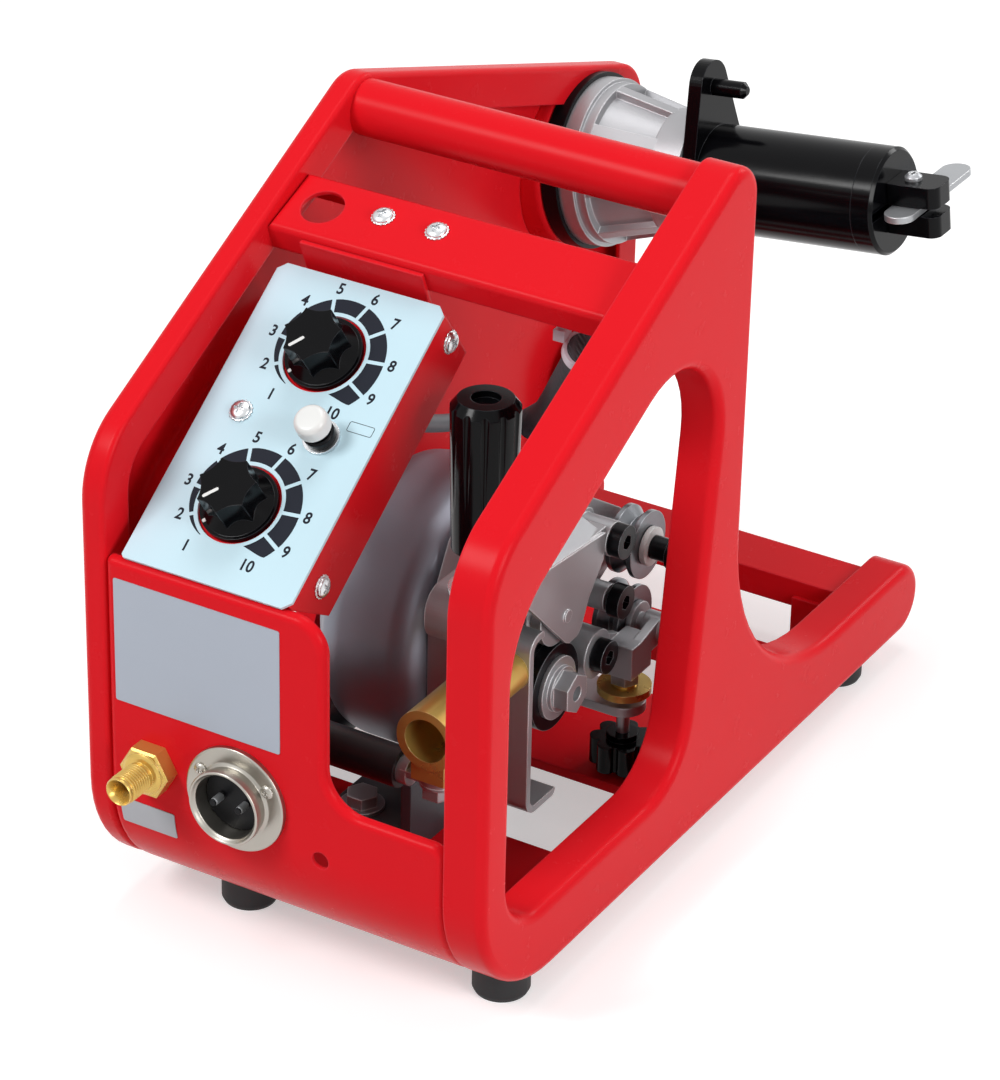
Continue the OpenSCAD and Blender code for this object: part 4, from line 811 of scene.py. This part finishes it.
class WIREFEEDER_OT_stage(bpy.types.Operator):
    """Camera, lights, floor and backdrop"""

    bl_idname = "wirefeeder.stage"
    bl_label = "Stage"

    def execute(self, context):
        scene = context.scene
        data = bpy.data.cameras.new("Camera")
        camera = bpy.data.objects.new("Camera", data)
        scene.collection.objects.link(camera)
        azimuth, elevation, roll = (math.radians(v) for v in VIEW_ANGLES)
        flat = math.cos(elevation)
        back = Vector((math.sin(azimuth) * flat, -math.cos(azimuth) * flat, math.sin(elevation)))
        right = Vector((math.cos(azimuth), math.sin(azimuth), 0))
        up = back.cross(right)
        right, up = (
            right * math.cos(roll) + up * math.sin(roll),
            up * math.cos(roll) - right * math.sin(roll),
        )
        turn = Matrix((right, up, back)).transposed().to_4x4()
        camera.matrix_world = Matrix.Translation(TO_ROW @ VIEW_AT) @ turn
        data.sensor_width = 36.0
        data.lens = 142.0
        data.clip_start, data.clip_end = 0.05, 50.0
        scene.camera = camera

        for name, spot, aim, size, power in (
            ("Key", (-1.0, -1.7, 2.0), (0, 0, 0.15), 0.8, 38.0),
            ("Fill", (2.1, -0.6, 1.1), (0, 0, 0.12), 0.9, 27.0),
            ("Top", (-0.1, 0.5, 2.3), (0, 0, 0.1), 0.9, 15.0),
            ("Rim", (0.6, 2.0, 1.3), (0, 0.1, 0.2), 0.7, 10.0),
        ):
            lamp = bpy.data.lights.new(name, "AREA")
            lamp.size = size
            lamp.energy = power
            obj = bpy.data.objects.new(name, lamp)
            scene.collection.objects.link(obj)
            obj.location = spot
            obj.rotation_mode = "QUATERNION"
            obj.rotation_quaternion = (Vector(aim) - Vector(spot)).to_track_quat("-Z", "Y")

        world = bpy.data.worlds.new("Studio")
        scene.world = world
        world.use_nodes = True
        tree = world.node_tree
        tree.nodes.clear()
        sky = tree.nodes.new("ShaderNodeBackground")
        strength = math_node(tree, "ADD", math_node(tree, "MULTIPLY", seen_node(tree), SKY_SEEN), SKY_LIGHT)
        sky.inputs["Color"].default_value = (1, 1, 1, 1)
        tree.links.new(strength, sky.inputs["Strength"])
        end = tree.nodes.new("ShaderNodeOutputWorld")
        tree.links.new(sky.outputs[0], end.inputs[0])

        bm = bmesh.new()
        bmesh.ops.create_grid(bm, x_segments=1, y_segments=1, size=6.0)
        mesh = bpy.data.meshes.new("Floor")
        bm.to_mesh(mesh)
        bm.free()
        floor = bpy.data.objects.new("Floor", mesh)
        scene.collection.objects.link(floor)
        material = bpy.data.materials.new("Studio floor")
        material.use_nodes = True
        tree = material.node_tree
        surface = tree.nodes["Principled BSDF"]
        surface.inputs["Base Color"].default_value = (FLOOR_GREY, FLOOR_GREY, FLOOR_GREY, 1)
        surface.inputs["Roughness"].default_value = 0.9
        surface.inputs["Specular IOR Level"].default_value = 0.0
        glow = math_node(tree, "MULTIPLY", seen_node(tree), FLOOR_GLOW)
        tree.links.new(glow, surface.inputs["Emission Strength"])
        surface.inputs["Emission Color"].default_value = (1, 1, 1, 1)
        mesh.materials.append(material)
        scene.view_settings.view_transform = "Standard"
        return {"FINISHED"}


class WIREFEEDER_OT_leads(bpy.types.Operator):
    """Power cable with its lug, grey lead, braided sleeve and tie"""

    bl_idname = "wirefeeder.leads"
    bl_label = "Leads"

    def execute(self, context):
        f = finishes(context)
        power = [(20, 22, 81.5), (5, 22, 81.5), (-30, 22, 81.5), (-54, 27, 77), (-66, 42, 60), (-71, 66, 40),
                 (-71, 96, 31), (-71, 140, 31), (-71, 200, 31), (-71, 236, 31)]
        lead = [(-36.8, 59.4, 238.9), (-36.8, 70.8, 223), (-36.3, 82, 209), (-35, 98, 197), (-34, 116, 188.5),
                (-34, 140, 178), (-30, 166, 170), (-22, 186, 162)]
        sleeve = [(-19, 190, 160), (-8, 184, 170), (8, 162, 188), (24, 140, 208), (38, 121, 226),
                  (49, 109, 242), (56, 103, 254)]
        rows = (
            ("power_lead", power, 9.0, "cable", "rubber", "power_cable"),
            ("grey_lead", lead, 4.0, "grey_cable", "cable_grey", "lead_cable"),
            ("braided_sleeve", sleeve, 7.5, "woven", "woven", "harness_sleeve"),
        )
        for name, route, radius, look, slot, node in rows:
            points = smooth_route(route, 8)
            piece(name, swept(points, radius, 28), Matrix(), f[look], stands_for=(node,))
        dress(("cable_lug",), f["zinc"])
        dress(("cable_tie",), f["tie"])
        return {"FINISHED"}


class WIREFEEDER_OT_side_frames(bpy.types.Operator):
    """Both pressed side frames, the carrying handle and the crossbeam"""

    bl_idname = "wirefeeder.side_frames"
    bl_label = "Side frames"

    def execute(self, context):
        f = finishes(context)
        edge = context.scene.feeder_sizes.press_edge * 1000
        top_y = (BACK_Z + BACK_Y * FALL - SLOPE_Z) / (SLOPE + FALL)
        rim = [
            (FRONT_Y, FOOT_H, LOW_R), (TAIL_Y, FOOT_H, TAIL_H / 2 - 0.4),
            (TAIL_Y, FOOT_H + TAIL_H, TAIL_H / 2 - 0.4), (MAST_Y, FOOT_H + TAIL_H, SWEEP_R),
            (MAST_Y, slope_at(MAST_Y), APEX_R), (FRONT_Y, slope_at(FRONT_Y), BEND_R),
        ]
        front, base = FRONT_Y + 20.5, FOOT_H + 33.7
        window = [
            (front, base, 28), (MAST_Y - 44.5, base, 34), (MAST_Y - 16, slope_at(MAST_Y - 16) - 44, 42),
            (front, slope_at(front) - 44, 45),
        ]
        turn = Matrix(((0, 0, 1, RIGHT_IN), (1, 0, 0, 0), (0, 1, 0, 0), (0, 0, 0, 1)))
        shell = pressed(rim, [window], [], RIGHT_RIM, SHEET, edge)
        piece("right_side", shell, turn, f["red_enamel"], stands_for=("side_frame_right",))

        rim = [
            (FRONT_Y, FOOT_H, LOW_R), (LEFT_TAIL_Y, FOOT_H, LEFT_TAIL_H / 2 - 0.4),
            (LEFT_TAIL_Y, FOOT_H + LEFT_TAIL_H, LEFT_TAIL_H / 2 - 0.4), (POST_Y, FOOT_H + LEFT_TAIL_H, 25),
            (POST_Y, POST_Z, 10), (BACK_Y, POST_Z, 28), (BACK_Y, BACK_Z, 25), (top_y, slope_at(top_y), 20),
            (FRONT_Y, slope_at(FRONT_Y), BEND_R),
        ]
        lip = [rim[0], (POST_Y, FOOT_H, 4)] + rim[4:]
        front, base = FRONT_Y + 32.5, FOOT_H + 45
        window = [
            (front, base, 20), (MAST_Y - 56, base, 30), (MAST_Y - 28, slope_at(MAST_Y - 28) - 57, 40),
            (front, slope_at(front) - 57, 45),
        ]
        turn = Matrix(((0, 0, -1, LEFT_IN), (1, 0, 0, 0), (0, 1, 0, 0), (0, 0, 0, 1)))
        web_s = -(FRAME_HALF + HUB_AT.x) / math.cos(math.radians(HUB_TILT))
        seat = on_hub(web_s).translation
        shell = pressed(rim, [window], [(seat.y, seat.z, DISH_R)], LEFT_RIM, SHEET, edge, inset(lip, LIP_W))
        parts = [(shell, turn)]
        for r, top, soft, cut in ((DISH_R + SHEET, -0.05, 4.0, SHEET * 0.6), (DISH_R, -SHEET, 2.5, 0.05)):
            dish = lathe(softened([(r, -24), (r, top), (6.5, top)], soft, 6))
            dish.transform(on_hub())
            cut_at(dish, (-FRAME_HALF + cut, 0, 0), (-1, 0, 0), clear_outer=True)
            parts.append((dish, Matrix()))
        nut = prism(hexagon(11), 4.4, 10.4, 1.0)
        washer = plate_between(circle(0, 0, 15), [circle(0, 0, 5)], -4.4, -SHEET)
        nut = merged([(nut, Matrix.Scale(-1, 4, (0, 0, 1))), (washer, Matrix())])
        piece("hub_nut", nut, on_hub(), f["zinc"])
        shell = merged(parts)
        piece("left_side", shell, Matrix(), f["red_enamel"], stands_for=("side_frame_left",))

        corners = square(LEFT_IN, 0, FRAME_HALF - SHEET, BEAM_W)
        beam = pressed(corners, [], [(-67.8, BEAM_W / 2, 9.5)], BEAM_H, SHEET, 3.2)
        place = on_beam() @ Matrix.Translation((0, 0, -BEAM_H))
        piece("beam_sheet", beam, place, f["red_enamel"], stands_for=("crossbeam",))
        dress(("handle_tube",), f["red_enamel"])
        return {"FINISHED"}


class WIREFEEDER_OT_front_panel(bpy.types.Operator):
    """Front panel with its rolled edge and bottom bend, and the bare labels"""

    bl_idname = "wirefeeder.front_panel"
    bl_label = "Front panel"

    def execute(self, context):
        f = finishes(context)
        low = BEND_Z - LOW_R * math.pi / 2 - PANEL_FLAT
        corners = [
            (LEFT_IN, low, 0), (RIGHT_IN, low, 0), (RIGHT_IN, BAND_Z, 6), (PANEL_X, BAND_Z, 18),
            (PANEL_X, PANEL_TOP, 15), (LEFT_IN, PANEL_TOP, 3),
        ]
        bm = pressed(corners, [], [(19.9, 69.7, 4.0)], PANEL_ROLL, SHEET, PANEL_ROLL - 0.8)
        self.bend(bm, low, PANEL_ROLL)
        turn = Matrix(((1, 0, 0, 0), (0, 0, -1, FRONT_Y + PANEL_ROLL), (0, 1, 0, 0), (0, 0, 0, 1)))
        piece("panel_sheet", bm, turn, f["red_enamel"], stands_for=("front_panel",))
        for name, low, high, look in (
            ("rating_label", (-81, 114.5), (0.5, 172.5), "label"),
            ("gas_label", (-80.3, 53.7), (-52.8, 66.9), "grey_label"),
        ):
            bm = plate_between(rounded(square(*low, *high, 1)), [], 0, LABEL_T)
            self.bend(bm, low[1], 0)
            obj = piece(name, bm, to_front(0, 0), f[look])
            if name == "rating_label":
                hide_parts("labels")
        return {"FINISHED"}

    def bend(self, bm, low, face):
        """Bends a sheet that stands in the panel's plane, its face at Z = face, round the panel's foot."""
        steps = 28
        for k in range(steps):
            cut_at(bm, (0, BEND_Z - (BEND_Z - low) * k / (steps - 1), 0), (0, 1, 0))
        for v in bm.verts:
            down = BEND_Z - v.co.y
            if down > 0:
                turn = min(down / LOW_R, math.pi / 2)
                r = LOW_R - face + v.co.z
                v.co.y = BEND_Z - r * math.sin(turn)
                v.co.z = r * math.cos(turn) - (LOW_R - face) - (down - turn * LOW_R)


class WIREFEEDER_OT_base(Dressing, bpy.types.Operator):
    """Floor plate, cross trays, rear bracket and feet"""

    bl_idname = "wirefeeder.base"
    bl_label = "Base"
    looks = (
        ("red_enamel", ("floor_plate", "mid_plate", "mid_bar", "rear_bar", "rear_bracket")),
        ("black_rubber", ("feet",)),
    )


class WIREFEEDER_OT_control_box(bpy.types.Operator):
    """Control box, printed faceplate, both knobs and the inch button"""

    bl_idname = "wirefeeder.control_box"
    bl_label = "Control box"

    def execute(self, context):
        f = finishes(context)
        sizes = context.scene.feeder_sizes
        dress(("control_box",), f["red_enamel"])
        dress(("faceplate",), f["pale_plate"])
        dress(("knob_upper", "knob_lower"), f["black_gloss"])
        dress(("pots",), f["zinc"])
        inner = sizes.scale_inner * 1000
        for x, y, pointer, name in DIALS:
            parts = []
            for first, last in zip(SCALE_GAPS, SCALE_GAPS[1:]):
                near, far = [], []
                for k in range(11):
                    for points, at in ((near, None), (far, first + (last - first) * k / 10)):
                        r = inner if at is None else scale_reach(at)
                        half = math.degrees(math.asin(0.85 / r))
                        low = first + (half if first > SCALE_GAPS[0] else 0)
                        high = last - (half if last < SCALE_GAPS[-1] else 0 if at is None else 9)
                        t = math.radians(low + (high - low) * k / 10)
                        points.append(Vector((r * math.sin(t), r * math.cos(t))))
                parts.append((prism((near + far[::-1])[::-1], 0.01, 0.07), Matrix.Translation((x, y, 0))))
            piece(f"scale_{name}", merged(parts), on_plate(), f["print_ink"])
            rows = [(str(n), x + across, y + up) for n, (across, up) in enumerate(NUMBER_SPOTS, 1)]
            self.write(f"numbers_{name}", rows, sizes.number_height, f["print_ink"])
            turn = Matrix.Rotation(math.radians(pointer), 4, "Z")
            knob = on_plate() @ Matrix.Translation((x, y, -1.2)) @ turn
            bar, tick = square(-0.75, 3.2, 0.75, 10.6, 0.7), square(-0.8, 14.4, 0.8, 16.6, 0.6)
            parts = [
                (plate_between(rounded(bar), [], 17.5, 18.06), Matrix()),
                (plate_between(rounded(tick), [], 1.5, 2.75), Matrix()),
            ]
            piece(f"pointer_{name}", merged(parts), knob, f["white"], body=f"{name}_dial")
        line = square(66.6, 81.6, 78.6, 86.4, 1)
        bm = plate_between(rounded(line), [rounded(inset(line, 0.25))], 0.01, 0.06)
        piece("inch_outline", bm, on_plate(), f["print_ink"])

        button = on_plate() @ Matrix.Translation((BUTTON[0], BUTTON[1], 0))
        profile = softened([(0, 9.0), (6.9, 9.0), (7.5, 9.8), (7.3, 15.2), (5.8, 17.0), (0, 17.3)], 1.6)
        cap = piece("button_top", lathe(profile), button, f["white"], body="inch_button")
        stem = lathe([(0, -6), (3.2, -6), (3.2, 6.1), (5.0, 6.1), (5.0, 9.4), (0, 9.4)], 48)
        piece("button_stem", stem, button, f["black_satin"], body="inch_button")
        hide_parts("button_cap")
        dress(("button_body",), f["chrome"])
        profile = softened([(5.2, 1.7), (6.8, 1.7), (6.8, 5.2), (5.9, 5.9), (5.2, 5.9), (5.2, 1.7)], 0.3)
        piece("button_collar", lathe(profile, 48), button, f["black_satin"])
        return {"FINISHED"}

    def write(self, name, rows, height, look):
        """Numbers at places on the faceplate, as one thin printed piece."""
        bm = bmesh.new()
        for text, x, y in rows:
            curve = bpy.data.curves.new("number", "FONT")
            curve.body = text
            curve.size = height * 1000
            curve.align_x = curve.align_y = "CENTER"
            curve.extrude = 0.025
            curve.offset = 0.17
            curve.resolution_u = 4
            obj = bpy.data.objects.new("number", curve)
            mesh = bpy.data.meshes.new_from_object(obj)
            mesh.transform(Matrix.Translation((x, y, 0.035)) @ Matrix.Diagonal((0.9, 1.0, 1.0, 1.0)))
            bm.from_mesh(mesh)
            bpy.data.objects.remove(obj)
            bpy.data.curves.remove(curve)
            bpy.data.meshes.remove(mesh)
        piece(name, bm, on_plate(), look)


class WIREFEEDER_OT_screws(bpy.types.Operator):
    """Cross-head screws of the beam, box, faceplate and socket"""

    bl_idname = "wirefeeder.screws"
    bl_label = "Screws"

    def execute(self, context):
        f = finishes(context)
        parts = []
        for x in (-39.8, -13.5):
            parts.append((cross_head(9), on_beam() @ Matrix.Translation((x, BEAM_W * 0.6, 0))))
        side = Matrix.Rotation(math.radians(90), 4, "Y")
        for y in (20, PLATE_L - 7):
            parts.append((cross_head(9), on_plate() @ Matrix.Translation((PLATE_W - 1, y, -16.5)) @ side))
        parts.append((cross_head(9), on_plate() @ Matrix.Translation((*PLATE_SCREW, 0))))
        nodes = ("pan_screws",)
        piece("cross_screws", merged(parts), Matrix(), f["chrome"], stands_for=nodes, sharp=40)
        parts = []
        for turn in (30, 150, 270):
            x, z = (SOCKET[i] + 19 * trig(math.radians(turn)) for i, trig in enumerate((math.cos, math.sin)))
            parts.append((cross_head(5.2), to_front(x, z, FRONT_Y - 2.5)))
        nodes = ("socket_screws",)
        piece("flange_screws", merged(parts), Matrix(), f["nickel"], stands_for=nodes, sharp=40)
        return {"FINISHED"}


class WIREFEEDER_OT_front_fittings(bpy.types.Operator):
    """Control socket and gas fitting"""

    bl_idname = "wirefeeder.front_fittings"
    bl_label = "Front fittings"

    def execute(self, context):
        f = finishes(context)
        profile = softened(
            [(24, 0), (24, 2.2), (23.4, 2.5), (17.2, 2.5), (15.8, 3.4), (15.8, 6.6), (16.2, 7.2), (17, 7.4),
             (17, 10.6), (16.6, 11), (16, 11), (15.2, 9.8), (14.6, 9.2), (14.2, 0)], 0.3, 3
        )
        shell = lathe(profile)
        piece("socket_ring", shell, to_front(*SOCKET), f["nickel"], stands_for=("socket_shell",))
        dress(("socket_insert",), f["black_satin"])
        domes = []
        for side in (-1, 1):
            tip = [(1.75 * math.cos(t), 7.6 + 1.4 * math.sin(t)) for t in quarter(8)[:-1]]
            dome = lathe([(1.75, 3)] + tip + [(0, 9)], 32)
            domes.append((dome, Matrix.Translation((6.2 * side, 0, 0))))
        piece("socket_pins", merged(domes), to_front(*SOCKET), f["zinc"])
        thread = [(6.2, 10.6)]
        z = 11.4
        while z < GAS_L - 2.6:
            thread += [(5.6, z), (6.6, z + 0.6), (6.6, z + 0.75), (5.6, z + 1.35)]
            z += THREAD_PITCH
        mouth = [(6.45, -1.6), (6.35, -0.5), (6.0, 0), (5.6, -0.2), (2.6, -5)]
        thread += [(r, GAS_L + back) for r, back in mouth] + [(2.6, 8)]
        collar = softened([(0, 7.5), (9.6, 7.5), (9.6, 8.6), (8.2, 9.4), (6.2, 9.6), (6.2, 11.5)], 0.3, 2)
        parts = (
            lathe(thread, 72), prism(hexagon(GAS_NUT / math.sqrt(3)), 0.0, 8.0, 0.9), lathe(collar),
            lathe([(0, -20), (6.8, -20), (6.8, 0.5)], 40),
        )
        nipple = merged([(part, Matrix()) for part in parts])
        piece("gas_nipple", nipple, to_front(*GAS), f["brass"], stands_for=("gas_fitting",))
        return {"FINISHED"}


class WIREFEEDER_OT_motor(bpy.types.Operator):
    """Disc motor and its bracket"""

    bl_idname = "wirefeeder.motor"
    bl_label = "Motor"

    def execute(self, context):
        f = finishes(context)
        profile = softened(
            [(0, -70), (42, -70), (46, -67), (50, -60), (60, -58), (64.5, -54), (66, -48), (66, -18),
             (63.5, -10.5), (57, -6.2), (5, -6.0)], 4, 5
        )
        shell, place = lathe(profile, 160), along_x(*MOTOR)
        piece("motor_shell", shell, place, f["motor_skin"], stands_for=("motor_housing",))
        dress(("motor_bracket",), f["dark_paint"])
        dress(("motor_rotor",), f["zinc"])
        return {"FINISHED"}


class WIREFEEDER_OT_drive(Dressing, bpy.types.Operator):
    """Gearbox, rollers, bolts, guard and torch adapter"""

    bl_idname = "wirefeeder.drive"
    bl_label = "Drive"
    looks = (
        ("cast_alloy", ("gearbox_housing", "gearbox_lid")),
        ("chrome", ("drive_shaft",)),
        ("blackened", ("feed_roller", "cap_bolts")),
        ("zinc", ("hex_bolts", "feed_guard", "roller_bolt")),
        ("brass", ("torch_adapter",)),
    )


class WIREFEEDER_OT_pressure(Dressing, bpy.types.Operator):
    """Pressure arm, its roller, rod, seat and grip"""

    bl_idname = "wirefeeder.pressure"
    bl_label = "Pressure unit"
    looks = (
        ("zinc", ("pressure_arm", "pressure_roller")),
        ("chrome", ("pressure_rod", "spring_seat")),
        ("black_gloss", ("pressure_handle",)),
    )


class WIREFEEDER_OT_straightener(Dressing, bpy.types.Operator):
    """Straightening rollers, their lever and the adjusting rod"""

    bl_idname = "wirefeeder.straightener"
    bl_label = "Straightener"
    looks = (
        ("ground", ("top_roller", "low_roller")),
        ("white", ("roller_washers",)),
        ("cast_alloy", ("straightener_lever",)),
        ("zinc", ("adjust_rod",)),
        ("brass", ("lock_disc",)),
        ("black_gloss", ("star_knob",)),
    )


class WIREFEEDER_OT_hub(Dressing, bpy.types.Operator):
    """Spool hub with its boss, drum, clevis and latch"""

    bl_idname = "wirefeeder.hub"
    bl_label = "Spool hub"
    looks = (
        ("black_satin", ("hub_insulator",)),
        ("cast_alloy", ("hub_boss",)),
        ("black_gloss", ("hub_drum", "hub_cap", "latch_clevis")),
        ("zinc", ("latch_bar", "latch_screw")),
    )


class WIREFEEDER_PT_panel(bpy.types.Panel):
    """Lists the feeder's settings and steps"""

    bl_label = "Wire feeder"
    bl_idname = "WIREFEEDER_PT_panel"
    bl_space_type = "VIEW_3D"
    bl_region_type = "UI"
    bl_category = "Wire feeder"

    def draw(self, context):
        for group_name in ("feeder_colours", "feeder_sizes"):
            settings = getattr(context.scene, group_name)
            for prop in settings.__annotations__:
                self.layout.prop(settings, prop)
        for step in STEPS:
            self.layout.operator(step.bl_idname)


STEPS = (
    WIREFEEDER_OT_stage,
    WIREFEEDER_OT_leads,
    WIREFEEDER_OT_side_frames,
    WIREFEEDER_OT_front_panel,
    WIREFEEDER_OT_base,
    WIREFEEDER_OT_control_box,
    WIREFEEDER_OT_screws,
    WIREFEEDER_OT_front_fittings,
    WIREFEEDER_OT_motor,
    WIREFEEDER_OT_drive,
    WIREFEEDER_OT_pressure,
    WIREFEEDER_OT_straightener,
    WIREFEEDER_OT_hub,
)
CLASSES = (FeederColours, FeederSizes) + STEPS + (WIREFEEDER_PT_panel,)


def register():
    for cls in CLASSES:
        bpy.utils.register_class(cls)
    bpy.types.Scene.feeder_colours = PointerProperty(type=FeederColours)
    bpy.types.Scene.feeder_sizes = PointerProperty(type=FeederSizes)


def unregister():
    del bpy.types.Scene.feeder_sizes
    del bpy.types.Scene.feeder_colours
    for cls in reversed(CLASSES):
        bpy.utils.unregister_class(cls)


def main():
    register()
    for step in STEPS:
        name = step.bl_idname.split(".")[1]
        if getattr(bpy.ops.wirefeeder, name)() != {"FINISHED"}:
            raise RuntimeError(f"{step.bl_label} did not finish")


if __name__ == "__main__":
    main()
